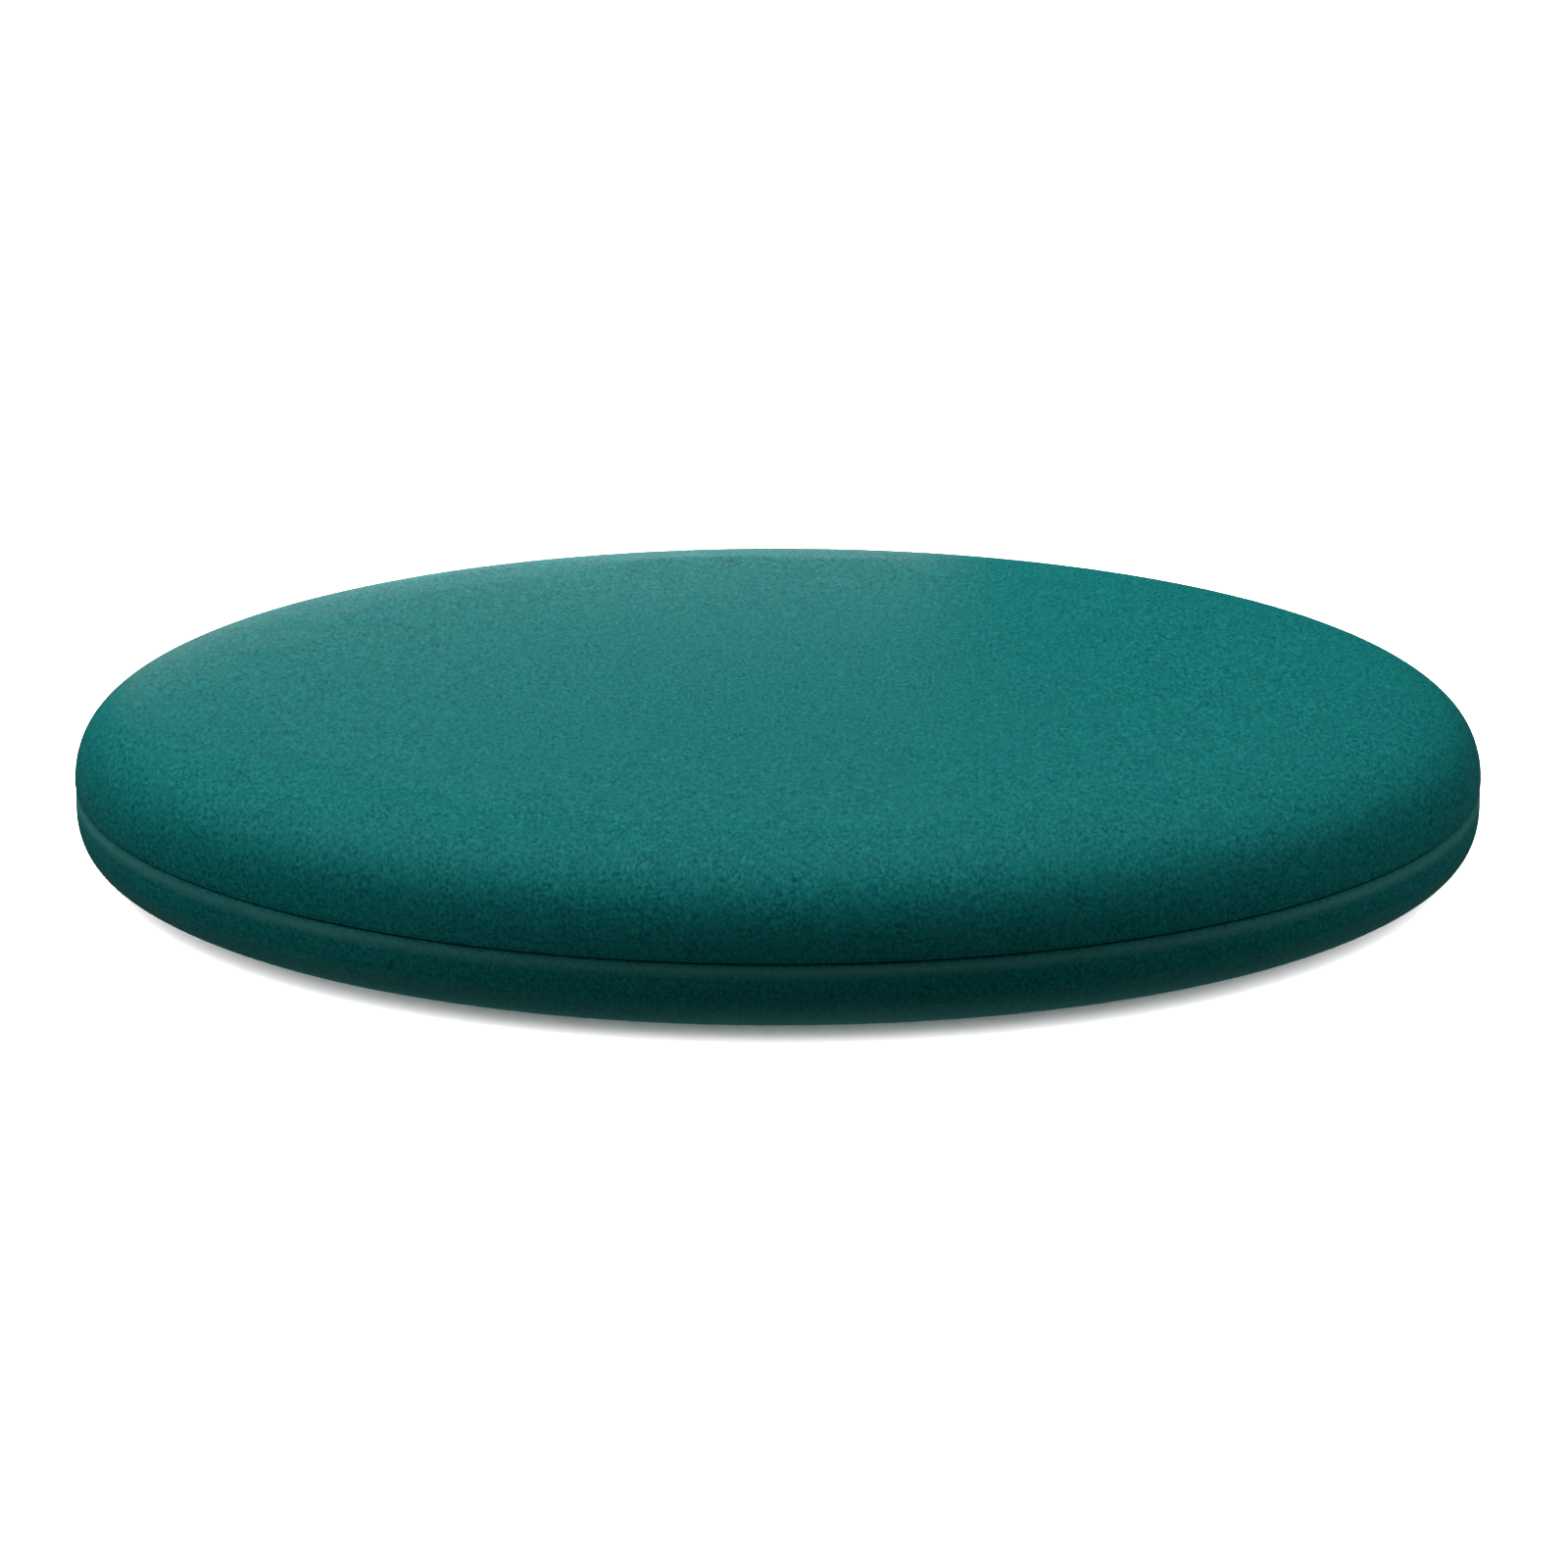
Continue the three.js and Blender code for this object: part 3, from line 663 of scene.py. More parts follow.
def blow_up(made):
    """Runs a cloth simulation that presses the fabric outward from inside while the seam is held."""
    held = [v.index for v in made.data.vertices if abs(v.co.z / MM - SEAM) < PINNED_HEIGHT]
    made.vertex_groups.new(name="seam").add(held, 1.0, "REPLACE")
    cloth = made.modifiers.new("cloth", "CLOTH")
    cloth.settings.vertex_group_mass = "seam"
    cloth.settings.use_pressure = True
    cloth.settings.uniform_pressure_force = AIR_PRESSURE
    cloth.settings.effector_weights.gravity = 0
    cloth.collision_settings.use_collision = False
    cloth.point_cache.frame_start = 1
    cloth.point_cache.frame_end = SIMULATED_FRAMES
    for moment in range(1, SIMULATED_FRAMES + 1):
        bpy.context.scene.frame_set(moment)
    apply_modifiers(made)
    bpy.context.scene.frame_set(1)
    return made


def outward_ways(section):
    """The outward direction at each point of a section that runs from the seam to the axis."""
    ways = []
    turn = 1 if section[-1][1] > section[0][1] else -1
    for i in range(len(section)):
        before, after = np.array(section[max(i - 1, 0)]), np.array(section[min(i + 1, len(section) - 1)])
        along = (after - before) / np.linalg.norm(after - before)
        ways.append((turn * along[1], -turn * along[0]))
    return ways


def skin_depth(made, section, angles):
    """How far inside a far point each place of a section lies, at each angle, along the way outward."""
    smooth = made.modifiers.new("smooth", "SUBSURF")
    smooth.levels = 1
    apply_modifiers(made)
    tree = BVHTree.FromPolygons([v.co for v in made.data.vertices], [p.vertices for p in made.data.polygons])
    reach = SAMPLE_REACH * MM
    depth = np.zeros((len(section), len(angles)))
    for row, ((r, z), (out_r, out_z)) in enumerate(zip(section, outward_ways(section))):
        for column, angle in enumerate(angles):
            way = Vector(at_angle(out_r, angle, out_z))
            hit = tree.ray_cast(Vector(at_angle(r, angle, z)) * MM + way * reach, -way)
            depth[row, column] = hit[3] / MM
    bpy.data.objects.remove(made)
    return depth


def travel(radius, height):
    """A measure of how far round a section a point is from the seam, for both halves."""
    return abs(height - SEAM) + PAD_RADIUS - radius


class Swelling:
    """How far the simulated fabric of one half stands out, in millimetres, at each place and angle."""

    def __init__(self, side):
        curve = SHOULDER if side > 0 else LOWER_EDGE[::-1]
        edge = [(float(r), float(z)) for r, z in curve if abs(z - SEAM) > 1][::2]
        middle = PAD_TOP if side > 0 else UNDERSIDE
        section = [*edge, *[(r, middle) for r in SAMPLE_RINGS]]
        self.places = [travel(r, z) for r, z in section]
        self.angles = np.arange(0, 360, SAMPLE_STEP)
        self.field = np.full((len(section), len(self.angles)), SEWN_SMALLER)
        before = skin_depth(plain_half(side), section, self.angles)
        after = skin_depth(blow_up(plain_half(side)), section, self.angles)
        moved = np.maximum(before - after, 0)
        field = SWELL_LIMIT * (1 - np.exp(-moved / SWELL_LIMIT))
        for _ in range(2):
            field = (np.roll(field, 1, 1) + 2 * field + np.roll(field, -1, 1)) / 4
        self.field = field

    def at(self, radius, height, angle):
        row = float(np.interp(travel(radius, height), self.places, range(len(self.places))))
        low, up = int(row), min(int(row) + 1, len(self.places) - 1)
        column = (angle % 360) / SAMPLE_STEP
        left, right = int(column) % len(self.angles), (int(column) + 1) % len(self.angles)
        across = self.field[[low, up]][:, [left, right]] @ (1 - column % 1, column % 1)
        return float(across @ (1 - row % 1, row % 1)) - SEWN_SMALLER


SWELLINGS = {side: Swelling(side) for side in (1, -1)}


def fabric_radius(side, height, angle):
    """The radius of the cover's outer surface beside the seam."""
    radius = curve_radius(SHOULDER if side > 0 else LOWER_EDGE, height)
    return radius + SWELLINGS[side].at(radius, height, angle)


def slot_share(angle):
    """How far the seam is open at an angle: 0 outside the zip's slot and 1 in it, smooth between."""
    turn = abs((angle - ZIP_MIDDLE + 180) % 360 - 180)
    return 1 - smoothstep(SLOT_END - SLOT_TAPER, SLOT_END, turn)


def cover_angles():
    """Angles round the pad, closer together where the slot's ends are."""
    ends = [ZIP_MIDDLE - SLOT_END, ZIP_MIDDLE + SLOT_END]
    angles, angle = [], 0.0
    while angle < 360 - FINE_COLUMN_STEP:
        angles.append(angle)
        near = min(abs(angle - e) for e in ends) < FINE_COLUMNS_WITHIN
        angle += FINE_COLUMN_STEP if near else COLUMN_STEP
    return angles


def cover_side(curve, edge, far, angle, side):
    """The outer surface beside the seam, from its folded edge to the row at height far."""
    opening = slot_share(angle)
    reach = SEAM_REACH[side] + (HEM_REACH - SEAM_REACH[side]) * opening
    stitch = SEAM + side * (SLOT_HALF + STITCH_FROM_HEM)
    points = []
    for i in range(SIDE_ROWS + 1):
        share = (i / SIDE_ROWS) ** ROW_CROWDING
        height = edge + (far - edge) * share
        radius = curve_radius(curve, height)
        inside = max(0, 1 - abs(height - edge) / reach)
        fold = CREASE_DEPTH[side] * (1 - math.sqrt(max(0, 1 - inside ** 2)))
        away = (height - stitch) / GROOVE_HALF_WIDTH
        groove = GROOVE_DEPTH * opening * math.exp(-away * away)
        points.append((radius - fold - groove, height))
    return points


def uneven(point):
    """A very slight swelling and sinking of the fabric over the foam."""
    return UNEVENNESS * noise.noise(Vector(point) / UNEVEN_LENGTH)


def cover_half(name, side, curve, edge_seam, far, beyond, flat):
    """One half of the cover, as a shell.

    The outer surface is the side up to the height far, then the curve beyond, then the flat part to the axis.
    """
    rings = []
    for angle in cover_angles():
        opening = slot_share(angle)
        edge = edge_seam + (SEAM + side * SLOT_HALF - edge_seam) * opening
        outer = cover_side(curve, edge, far, angle, side)
        first_r = outer[0][0]
        lip = [(LIP_RADIUS, edge), ((LIP_RADIUS + first_r) / 2, edge)]
        skin = outer + beyond + flat
        inner = [(r * (1 - FABRIC / PAD_RADIUS) - 0.2, z - side * FABRIC) for r, z in beyond[::4] + flat[:-1]]
        inner.append((0, flat[-1][1] - side * FABRIC))
        start = (first_r - FABRIC, edge + side * (FABRIC + LIP_SPACE))
        lip_inside = [(LIP_RADIUS, edge + side * FABRIC), ((LIP_RADIUS + start[0]) / 2, edge + side * FABRIC)]
        wall = [(curve_radius(curve, h) - FABRIC, h) for h in (far - side * 3, far)]
        ring = [at_angle(r, angle, z) for r, z in lip]
        for (r, z), (out_r, out_z) in zip(skin, outward_ways(skin)):
            stand = uneven(at_angle(r, angle, z)) + SWELLINGS[side].at(r, z, angle)
            stand *= smoothstep(0, 0.8, abs(z - edge))
            ring.append(at_angle(r + out_r * stand * min(1, r / 20), angle, z + out_z * stand))
        ring += [at_angle(r, angle, z) for r, z in inner[::-1] + wall[::-1] + [start] + lip_inside[::-1]]
        rings.append(ring)
    return outward(grid(name, rings, True, True), COVER_WELD)


def upper_cover():
    beyond = [tuple(p) for p in SHOULDER if p[1] > UPPER_SIDE_TOP + 0.3]
    flat = [(r, PAD_TOP - CROWN_DROP * (r / CROWN_RADIUS) ** 2) for r in CROWN_RINGS]
    made = cover_half("upper_cover_fabric", 1, SHOULDER, SEAM + SEAM_GAP, UPPER_SIDE_TOP, beyond, flat)
    finish_piece(made, "cover_fabric", "upper_cover")
    return made


def lower_cover():
    beyond = [tuple(p) for p in LOWER_EDGE[::-1] if p[1] < LOWER_SIDE_BOTTOM - 0.3]
    flat = [(r, UNDERSIDE) for r in UNDERSIDE_RINGS]
    made = cover_half("lower_cover_fabric", -1, LOWER_EDGE, SEAM - SEAM_GAP, LOWER_SIDE_BOTTOM, beyond, flat)
    finish_piece(made, "cover_fabric", "lower_cover")
    return made


def seam_binding():
    half = (box_mm("seam_binding")[1].z - box_mm("seam_binding")[0].z) / 2
    section = rounded_section(TAPE_INNER, TAPE_OUTER, SEAM - half, SEAM + half, 0.2)
    start, end = ZIP_MIDDLE + BINDING_END, ZIP_MIDDLE + 360 - BINDING_END
    made = arc_bar("seam_binding_tape", section, start, end)
    return finish_piece(made, "zip_tape", "seam_binding")


# ---- Stitching ----


def stitch(place, start, length, thread=THREAD_RADIUS):
    """One stitch that rises out of the fabric and dips in. place turns (distance, lift) into a point."""
    path, widen, steps = [], [], 6
    for i in range(steps + 1):
        share = i / steps
        lift = thread * (STITCH_RISE * math.sin(math.pi * share) ** 0.6 - STITCH_SINK)
        path.append(place(start + length * share, lift))
        widen.append(0.75 + 0.25 * math.sin(math.pi * share))
    return tube("stitch", path, thread, sides=6, widen=widen)


def side_stitching(name, side, node):
    """The row of topstitching along the zip on one half of the cover."""
    height = SEAM + side * (SLOT_HALF + STITCH_FROM_HEM)
    start = math.radians(ZIP_MIDDLE - SLOT_END + 0.5) * PAD_RADIUS
    count = int(math.radians(2 * SLOT_END - 1) * PAD_RADIUS / STITCH_PITCH)

    def place(distance, lift):
        angle = math.degrees(distance / PAD_RADIUS)
        return at_angle(fabric_radius(side, height, angle) - GROOVE_DEPTH + lift, angle, height)

    stitches = [stitch(place, start + i * STITCH_PITCH, STITCH_LENGTH) for i in range(count)]
    return finish_piece(joined(name, stitches), "sewing_thread", node)


def base_stitching():
    """The round of stitches that sews the rubber base to the cover, seen from below."""
    count = int(2 * math.pi * BASE_STITCH_RADIUS / STITCH_PITCH)
    pitch = 2 * math.pi * BASE_STITCH_RADIUS / count
    low = box_mm("base_stitching")[1].z + 0.3

    def place(distance, lift):
        return at_angle(BASE_STITCH_RADIUS, math.degrees(distance / BASE_STITCH_RADIUS), low - lift)

    stitches = [stitch(place, i * pitch, STITCH_LENGTH) for i in range(count)]
    made = joined("base_stitching_thread", stitches)
    return finish_piece(made, "sewing_thread", "base_stitching")


def bar_tack(name, angle):
    """A dense zigzag of thread that closes the seam at one end of the zip."""
    path, parts = [], 6
    low_edge, high_edge = SEAM - SEAM_REACH[-1], SEAM + SEAM_REACH[1]
    bridged = (fabric_radius(-1, low_edge, angle), fabric_radius(1, high_edge, angle))
    for i in range(TACK_PASSES * 2):
        swing = TACK_HALF if i % 2 else -TACK_HALF
        for k in range(parts):
            level = SEAM + swing * (1 - 2 * k / parts)
            radius = float(np.interp(level, (low_edge, high_edge), bridged))
            if not low_edge < level < high_edge:
                radius = fabric_radius(1 if level > SEAM else -1, level, angle)
            turn = (i - TACK_PASSES + k / parts) * TACK_STEP
            path.append(at_angle(radius + TACK_LIFT, angle + turn, level))
    made = tube(name, path, THREAD_RADIUS * 0.8)
    return finish_piece(made, "sewing_thread")


# ---- The base ----


def stud(radius):
    """A low stud with a rounded rim and a small fillet where it meets the sheet."""
    sheet, buried, foot = STUD_HEIGHT, STUD_HEIGHT + 0.3, radius + 0.5
    below_fillet = (radius - 0.1, sheet - 0.35)
    fillet = bezier((foot, sheet), (radius, sheet - 0.05), below_fillet, steps=3)
    rim = bezier(below_fillet, (radius - 0.35, 0), (radius - 1, 0), steps=4)
    return [(0, buried), (foot, buried), *fillet, *rim[1:], (0, 0)]


def grip_base():
    """The moulded sheet with a round edge, and its studs in rings round a broad one in the middle."""
    half = (BASE_TOP - STUD_HEIGHT) / 2
    edge = [
        (BASE_RADIUS - half + half * math.cos(t), STUD_HEIGHT + half + half * math.sin(t))
        for t in np.linspace(-math.pi / 2, math.pi / 2, 9)
    ]
    below = [(r, STUD_HEIGHT) for r in (0, *BASE_RINGS)]
    base = lathe("grip_base_moulded", [*below, *edge, (0, BASE_TOP)])
    studs = [lathe("stud", stud(CENTRE_STUD_RADIUS), 64)]
    for ring in range(1, STUD_RINGS + 1):
        for i in range(6 * ring):
            made = lathe("stud", stud(STUD_RADIUS), 32)
            middle = at_angle(ring * STUD_SPACING, 360 * i / (6 * ring), 0)
            made.data.transform(Matrix.Translation([c * MM for c in middle]))
            studs.append(made)
    crisp(combined("UNION", base, [joined("studs", studs)]))
    return finish_piece(base, "base_rubber", "grip_base")


# ---- The filling ----


def moved_in(outline, distance, limit):
    """An outline, drawn from the underside outward and up, moved inward and kept within a radius."""
    moved = []
    for i, here in enumerate(outline):
        before, after = np.array(outline[max(i - 1, 0)]), np.array(outline[min(i + 1, len(outline) - 1)])
        along = (after - before) / np.linalg.norm(after - before)
        moved.append((float(min(here[0] - along[1] * distance, limit)), float(here[1] + along[0] * distance)))
    return moved


def filling_section(low, high):
    """The foam's outline between two heights, with its cut faces flat."""
    side = moved_in([*LOWER_EDGE[::2], *SHOULDER[::2]], FILLING_DEPTH, FOAM_RADIUS)
    side = [(r, z) for r, z in side if low + 0.3 < z < high - 0.05]
    first = (side[0][0], low) if side[0][1] - low > 1 else (side[0][0] - 12, low)
    last = (side[-1][0], high) if high - side[-1][1] > 1 else (side[-1][0] - 12, high)
    return [(0, low), first, *side, last, (0, high)]


def foam_disc(node, slot):
    low, high = (corner.z for corner in box_mm(node))
    made = lathe(node + "_disc", filling_section(low, high), 180)
    finish_piece(made, slot, node)
    return made


def gathered(name, section, amount):
    """A closed section turned round the axis, with pleats. amount gives their height at each radius."""
    steps = 6
    rings = []
    for i in range(LINER_PLEATS * steps):
        angle = 360 * i / (LINER_PLEATS * steps)
        pleat = math.cos(2 * math.pi * i / steps) + 0.4 * noise.noise(Vector((angle * 0.9, 0, 0)))
        rings.append([at_angle(r, angle, z + amount(r, z) * pleat) for r, z in section])
    return outward(grid(name, rings, True, True), WELD)


def inner_liner():
    """The stretch sock over the foam. Its mouth underneath is gathered into soft pleats."""
    mouth = ELASTIC_RADIUS + 0.35
    outline = [(r, UNDERSIDE) for r in (mouth, *LINER_RINGS)]
    outline += [*LOWER_EDGE[::3], *SHOULDER[::3], (120, PAD_TOP), (60, PAD_TOP)]
    outside = moved_in(outline, LINER_DEPTH, LINER_RADIUS)
    inside = moved_in(outline, LINER_DEPTH + LINER_KNIT, LINER_RADIUS - LINER_KNIT)
    top = PAD_TOP - LINER_DEPTH
    section = [*outside, (0, top), (0, top - LINER_KNIT), *inside[::-1]]

    def amount(radius, height):
        return 0.3 * (1 - smoothstep(mouth + 2, 130, radius)) if height < SEAM else 0

    made = gathered("inner_liner_knit", section, amount)
    return finish_piece(made, "liner_knit", "inner_liner")


def liner_elastic():
    """The elastic band at the liner's mouth, slightly ruffled by the knit that it draws in."""
    section = rounded_section(ELASTIC_RADIUS - ELASTIC_WIDTH, ELASTIC_RADIUS, ELASTIC_LOW, ELASTIC_HIGH, 0.2)
    made = gathered("liner_elastic_band", section, lambda radius, height: 0.12)
    return finish_piece(made, "liner_knit", "liner_elastic")


def build_inside():
    foam_disc("core_foam", "firm_foam")
    foam_disc("comfort_foam", "soft_foam")
    inner_liner()
    liner_elastic()


# ---- The zip ----


def beside_seam(side, near, far):
    """Two heights at these distances from the seam, the lower one first."""
    return sorted((SEAM + side * near, SEAM + side * far))


def zip_tape(side, node):
    """A woven tape that runs from the chain to behind the fabric."""
    low, high = beside_seam(side, CHAIN_GAP, TAPE_HALF_HEIGHT)
    section = rounded_section(TAPE_INNER, TAPE_OUTER, low, high, 0.2)
    made = arc_bar(node + "_woven", section, ZIP_MIDDLE - TAPE_END, ZIP_MIDDLE + TAPE_END)
    return finish_piece(made, "zip_tape", node)


def zip_coil(side, node):
    """One filament wound into flattened turns. The other side's turns lie half a pitch further along."""
    turns = int(math.radians(2 * CHAIN_END) * CHAIN_INNER / COIL_PITCH)
    middle = (CHAIN_INNER + CHAIN_OUTER) / 2
    radial = (CHAIN_OUTER - CHAIN_INNER) / 2 - WIRE_RADIUS
    upright = (CHAIN_HALF - CHAIN_GAP) / 2 - WIRE_RADIUS
    centre = (CHAIN_HALF + CHAIN_GAP) / 2
    first, span = ZIP_MIDDLE - CHAIN_END + COIL_INSET, 2 * (CHAIN_END - COIL_INSET)
    path = []
    for i in range(turns * TURN_STEPS):
        turn = 2 * math.pi * i / TURN_STEPS
        out = math.copysign(abs(math.cos(turn)) ** COIL_SQUARENESS, math.cos(turn))
        up = math.copysign(abs(math.sin(turn)) ** COIL_SQUARENESS, math.sin(turn))
        share = (i / TURN_STEPS + (0.5 if side > 0 else 0)) / (turns + 0.5)
        height = SEAM + side * (centre + upright * up)
        path.append(at_angle(middle + radial * out, first + span * share, height))
    made = tube(node + "_turns", path, WIRE_RADIUS)
    return finish_piece(made, "zip_coil", node)


def coil_stitching(name, side):
    """The row of small stitches that holds a coil to its tape."""
    height = SEAM + side * (CHAIN_HALF - COIL_THREAD_INSET)
    radius = CHAIN_OUTER - 0.02
    pitch = 2 * COIL_PITCH
    start = math.radians(ZIP_MIDDLE - CHAIN_END + 0.3) * radius
    count = int(math.radians(2 * CHAIN_END - 0.6) * radius / pitch)

    def place(distance, lift):
        return at_angle(radius + lift, math.degrees(distance / radius), height)

    stitches = [stitch(place, start + i * pitch, pitch * 0.86, FINE_THREAD) for i in range(count)]
    return finish_piece(joined(name, stitches), "sewing_thread")


def zip_stop(node, angle, low, high):
    """A small clamped metal stop with well rounded edges, pinched in across its middle."""
    half = math.degrees(STOP_LENGTH / 2 / CHAIN_OUTER)
    middle_r, middle_z = (CHAIN_INNER + STOP_OUTER) / 2, (low + high) / 2
    rings = []
    for i in range(STOP_SLICES + 1):
        share = i / STOP_SLICES * 2 - 1
        end = 1 - STOP_TAPER * abs(share) ** 4
        pinch = STOP_PINCH * math.exp(-(share / 0.25) ** 2)
        section = rounded_section(CHAIN_INNER, STOP_OUTER - pinch, low, high, STOP_ROUNDING, 4)
        rings.append([
            at_angle(middle_r + (r - middle_r) * end, angle + half * share, middle_z + (z - middle_z) * end)
            for r, z in section
        ])
    return finish_piece(grid(node + "_clamp", rings, True, False), "zip_metal", node)


def zip_end_tab(node, start, end):
    """A folded fabric patch over the tape ends, sewn down near its edges."""
    half = SLOT_HALF - 0.3
    section = rounded_section(CHAIN_INNER, END_TAB_OUTER, SEAM - half, SEAM + half, 0.35, 4)
    made = bevelled(arc_bar(node + "_fabric", section, start, end, 0.25), 0.3, 3, 40)
    return finish_piece(made, "cover_fabric", node)


def end_tab_stitching(name, start, end):
    """A box of stitches on an end tab."""
    radius = END_TAB_OUTER
    inset_angle = math.degrees(1.4 / radius)
    left, right = start + inset_angle, end - inset_angle
    half = SLOT_HALF - 1.7
    width = math.radians(right - left) * radius
    stitches = []
    for height in (SEAM - half, SEAM + half):

        def across(distance, lift, height=height):
            return at_angle(radius + lift, left + math.degrees(distance / radius), height)

        count = 5
        stitches += [stitch(across, i * width / count, width / count * 0.84) for i in range(count)]
    for angle in (left, right):

        def upward(distance, lift, angle=angle):
            return at_angle(radius + lift, angle, SEAM - half + distance)

        count = 3
        stitches += [stitch(upward, i * 2 * half / count, 2 * half / count * 0.84) for i in range(count)]
    return finish_piece(joined(name, stitches), "sewing_thread")


# ---- The slider and its pull tab ----


def at_slider(made, radius=0.0):
    """Moves a piece drawn on the +X side, with Z from the seam, to the slider's place at rest."""
    turn = Matrix.Rotation(math.radians(SLIDER_REST), 4, "Z")
    made.data.transform(turn @ Matrix.Translation((radius * MM, 0, SEAM * MM)))
    return made


def plate(name, outline, low, high):
    """An outline of (along the zip, height) points, with a thickness between two radii."""
    rings = [[(x, y, z) for y, z in outline] for x in (low, high)]
    return grid(name, rings, True, False)


def round_outline(corners, radius, steps=4):
    """A closed outline with each corner rounded off by a curve."""
    outline = []
    for i, here in enumerate(corners):
        here = Vector(here)
        before = (Vector(corners[i - 1]) - here).normalized()
        after = (Vector(corners[(i + 1) % len(corners)]) - here).normalized()
        corner = bezier(here + before * radius, here, here + after * radius, steps=steps)
        outline += [tuple(p) for p in corner]
    return outline


def slider_outline():
    """The slider's plan: broad shoulders at the wide end and a narrower tail."""
    half, wide, narrow = SLIDER_HALF, SLIDER_WIDE, SLIDER_NARROW
    corners = [
        (-half, -wide * 0.72), (-half * 0.72, -wide), (-half * 0.2, -wide), (half * 0.55, -narrow),
        (half, -narrow * 0.8), (half, narrow * 0.8), (half * 0.55, narrow), (-half * 0.2, wide),
        (-half * 0.72, wide), (-half, wide * 0.72),
    ]
    return round_outline(corners, 0.75)


def bridge():
    """The arch that holds the pull tab: a flat strip bent over from one foot to the other."""
    foot, top = SLIDER_FACE[1] - SLIDER_OVERLAP, SLIDER_FACE[1] + BRIDGE_RISE
    outline = []
    for inset in (0, BRIDGE_STRIP):
        end, crest = inset - BRIDGE_HALF, top - inset
        half = bezier((foot, end), (crest + 0.1, end), (crest, -BRIDGE_STRIP), (crest, 0), steps=10)
        outline.append([*half, *[np.array((r, -y)) for r, y in half[-2::-1]]])
    section = [*outline[0], *outline[1][::-1]]
    rings = [[(r, y, z) for r, y in section] for z in (-BRIDGE_HALF_WIDTH, BRIDGE_HALF_WIDTH)]
    return bevelled(grid("bridge", rings, True, False), 0.18, 3, 50)


def rectangle(span, half):
    """The corners of a rectangle of (along the zip, height), which is level with the seam."""
    low, high = span
    return [(low, -half), (low, half), (high, half), (high, -half)]


def zip_slider():
    """Two rounded plates joined by a wedge, with guide rims at the sides and the bridge on the face."""
    face = bevelled(plate("zip_slider_body", slider_outline(), *SLIDER_FACE), 0.24, 4, 50)
    back = bevelled(plate("back", slider_outline(), *SLIDER_BACK), 0.24, 4, 50)
    into_face = SLIDER_FACE[0] + SLIDER_OVERLAP
    wedge_outline = round_outline(rectangle(WEDGE_SPAN, WEDGE_HALF), 0.06, 2)
    wedge = plate("wedge", wedge_outline, SLIDER_BACK[1] - SLIDER_OVERLAP, into_face)
    start, end = RIM_SPAN
    rims = []
    for side in (-1, 1):
        corners = [(start, RIM_INSIDE), (end, RIM_INSIDE), (end, RIM_OUTSIDE[1]), (start, RIM_OUTSIDE[0])]
        corners = [(y, side * z) for y, z in corners]
        rims.append(plate("rim", round_outline(corners, 0.25, 3), RIM_RADIUS, into_face))
    made = at_slider(crisp(combined("UNION", face, [back, wedge, *rims, bridge()])))
    return finish_piece(made, "zip_metal", "zip_slider", body="slider")


def pull_tab():
    """A flat pull with an eye for the bridge, a grip hole and a shallow recess between them."""
    start, end = PULL_SPAN
    lower_side = [(start, -PULL_NARROW), (PULL_SHOULDER, -PULL_WIDE), (end, -PULL_WIDE)]
    upper_side = [(y, -z) for y, z in lower_side[::-1]]
    body = plate("pull_tab_plate", round_outline(lower_side + upper_side, 1.3, 6), -PULL_THICK, PULL_THICK)
    through = 2 * PULL_THICK
    eye = plate("eye", round_outline(rectangle(EYE_SPAN, EYE_HALF), 0.4, 4), -through, through)
    turns = np.linspace(0, 2 * math.pi, 33)[:-1]
    circle = [(end - HOLE_FROM_END + HOLE_RADIUS * math.cos(t), HOLE_RADIUS * math.sin(t)) for t in turns]
    recess = round_outline(rectangle(RECESS_SPAN, RECESS_HALF), 0.9, 5)
    cuts = [eye, plate("hole", circle, -through, through)]
    cuts += [plate("recess", recess, *sorted((side * RECESS_FLOOR, side * through))) for side in (1, -1)]
    made = bevelled(combined("DIFFERENCE", body, cuts), 0.16, 3, 50)
    at_slider(made, PULL_PIVOT)
    return finish_piece(made, "zip_metal", "pull_tab", body="tab")


def build_zip():
    for side, where in ((1, "upper"), (-1, "lower")):
        zip_tape(side, "zip_tape_" + where)
        zip_coil(side, "zip_coil_" + where)
        coil_stitching("zip_coil_" + where + "_thread", side)
        low, high = beside_seam(side, STOP_GAP, STOP_HALF)
        zip_stop("zip_top_stop_" + where, ZIP_MIDDLE - STOP_ANGLE, low, high)
    zip_stop("zip_bottom_stop", ZIP_MIDDLE + STOP_ANGLE, SEAM - STOP_HALF, SEAM + STOP_HALF)
    for hand, turn in (("right", -1), ("left", 1)):
        start, end = sorted((ZIP_MIDDLE + turn * END_TAB_NEAR, ZIP_MIDDLE + turn * END_TAB_FAR))
        zip_end_tab("zip_end_tab_" + hand, start, end)
        end_tab_stitching("zip_end_tab_" + hand + "_thread", start, end)
        bar_tack("bar_tack_" + hand, ZIP_MIDDLE + turn * (SLOT_END + 0.9))
    zip_slider()
    pull_tab()


# ---- Assembly ----

upper_cover()
lower_cover()
seam_binding()
side_stitching("zip_stitching_upper_thread", 1, "zip_stitching_upper")
side_stitching("zip_stitching_lower_thread", -1, "zip_stitching_lower")
base_stitching()
grip_base()
build_inside()
build_zip()

# ---- Floor, camera and light ----

CAMERA_ELEVATION = 14.92
CAMERA_LENS = 212.17
CAMERA_SENSOR = 36.0
CAMERA_DISTANCE = 2.634
CAMERA_TARGET = Vector((0.0017, 0, 0.0207))
FLOOR_HALF = 6000

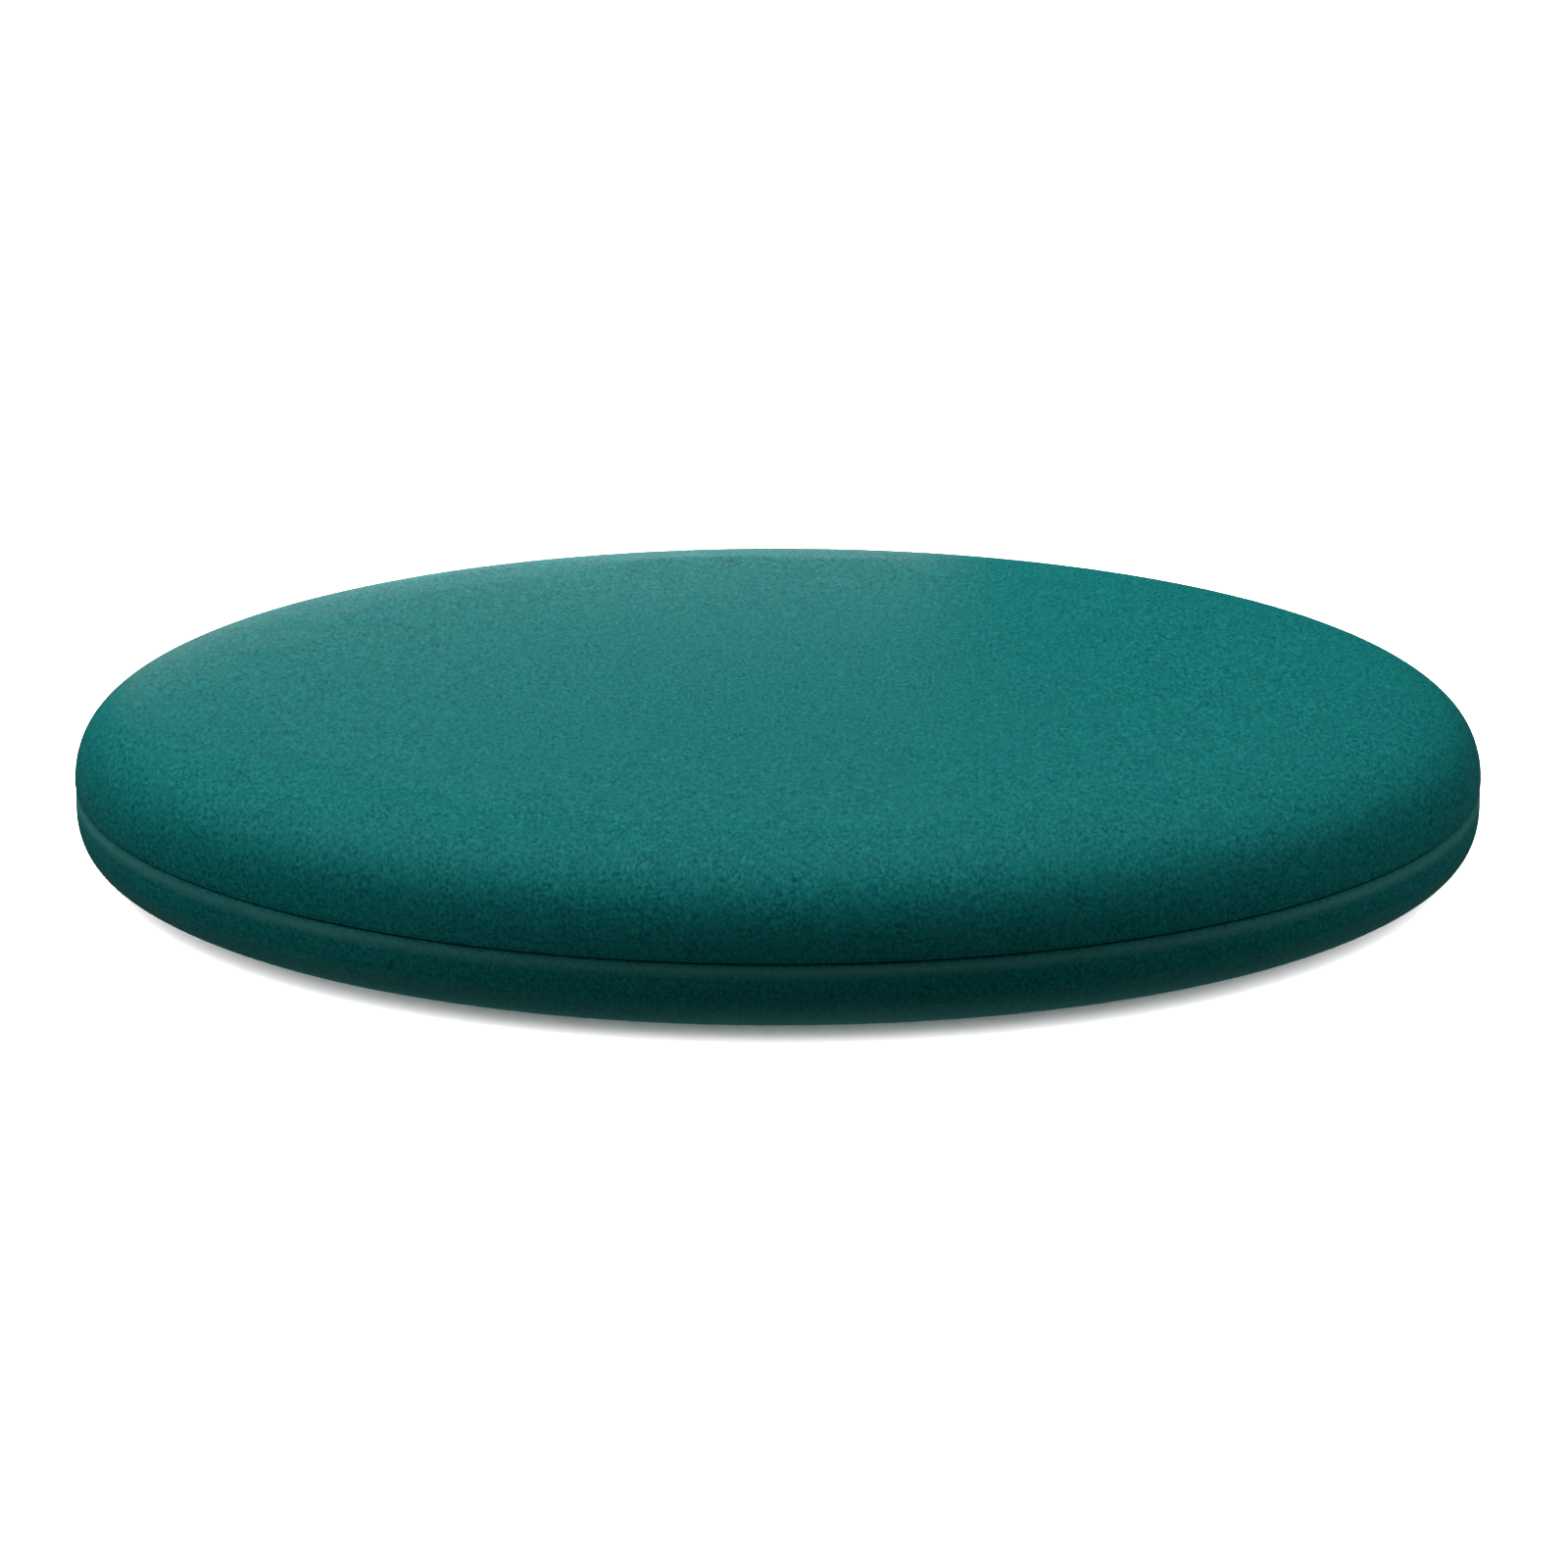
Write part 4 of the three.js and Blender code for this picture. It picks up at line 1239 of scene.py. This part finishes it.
# Each softbox: its azimuth and elevation, distance, width, height and power, in degrees, metres and watts.
PAD_LIGHTS = {
    "back_softbox": (200, 50, 2.0, 1.6, 1.0, 26.3),
    "left_softbox": (280, 50, 2.0, 1.6, 1.0, 15.7),
    "right_softbox": (100, 50, 4.0, 3.2, 2.0, 60.8),
    "low_back_strip": (200, 14, 0.26, 0.3, 0.04, 0.19),
}
FLOOR_LIGHTS = {
    "floor_light": (0, 90, 2.2, 4.5, 4.5, 340),
    "low_floor_light_front": (0, 20, 2.0, 4.0, 1.42, 104),
    "low_floor_light_right": (90, 20, 2.0, 4.0, 1.42, 104),
    "low_floor_light_left": (270, 20, 2.0, 4.0, 1.42, 104),
}
UPPER_AMBIENT = 0.0
LOWER_AMBIENT = 0.184


def direction(azimuth, elevation):
    """The way towards a place seen at an azimuth (0 is the front, -Y) and an elevation."""
    a, e = math.radians(azimuth), math.radians(elevation)
    return Vector((math.sin(a) * math.cos(e), -math.cos(a) * math.cos(e), math.sin(e)))


def build_camera():
    data = bpy.data.cameras.new("camera")
    data.lens = CAMERA_LENS
    data.sensor_width = CAMERA_SENSOR
    made = placed("camera", data)
    back = direction(0, CAMERA_ELEVATION)
    made.location = CAMERA_TARGET + back * CAMERA_DISTANCE
    made.rotation_euler = back.to_track_quat("Z", "Y").to_euler()
    bpy.context.scene.camera = made


def soft_light(name, azimuth, elevation, distance, width, height, power):
    """A softbox out of the camera's sight that faces the middle of the pad's top."""
    data = bpy.data.lights.new(name, "AREA")
    data.shape = "RECTANGLE"
    data.size = width
    data.size_y = height
    data.energy = power
    made = placed(name, data)
    made.location = direction(azimuth, elevation) * distance
    aim = made.location - Vector((0, 0, PAD_TOP * MM))
    made.rotation_euler = aim.to_track_quat("Z", "Y").to_euler()
    made.visible_camera = False
    return made


def build_floor():
    """A white floor with lights of its own, so bright that only the shadow close under the pad shows."""
    made = bpy.data.materials.new("look_studio_floor")
    made.use_nodes = True
    tree = made.node_tree
    tree.nodes.clear()
    tone = speckle(tree, object_place(tree), 400, detail=2)
    colour = blend_colours(tree, tone, (0.88, 0.86, 0.86), (0.92, 0.90, 0.90))
    lit = add(tree, "ShaderNodeBsdfDiffuse", {"Color": colour}).outputs[0]
    add(tree, "ShaderNodeOutputMaterial", {"Surface": lit})
    corners = [(x * FLOOR_HALF, y * FLOOR_HALF, 0) for x, y in ((-1, -1), (1, -1), (1, 1), (-1, 1))]
    floor = piece("floor", corners, [(0, 1, 2, 3)])
    floor.data.materials.append(made)
    floor.visible_diffuse = False
    floor.visible_glossy = False
    lit_only = bpy.data.collections.new("lit_by_floor_light")
    lit_only.objects.link(floor)
    for name, values in FLOOR_LIGHTS.items():
        soft_light(name, *values).light_linking.receiver_collection = lit_only


def build_world(upper, lower):
    """Plain light from above and below the horizon. The camera itself sees a plain white background."""
    world = bpy.data.worlds.new("studio")
    bpy.context.scene.world = world
    world.use_nodes = True
    tree = world.node_tree
    place = add(tree, "ShaderNodeTexCoord").outputs["Generated"]
    height = add(tree, "ShaderNodeSeparateXYZ", {0: place}).outputs["Z"]
    ambient = spread(tree, height, lower, upper, -0.02, 0.02)
    seen = add(tree, "ShaderNodeLightPath").outputs["Is Camera Ray"]
    tree.links.new(calculate(tree, "MAXIMUM", ambient, seen), tree.nodes["Background"].inputs["Strength"])
    tree.nodes["Background"].inputs["Color"].default_value = (1, 1, 1, 1)


build_camera()
build_floor()
build_world(UPPER_AMBIENT, LOWER_AMBIENT)
for name, values in PAD_LIGHTS.items():
    soft_light(name, *values)
bpy.context.scene.view_settings.view_transform = "Standard"
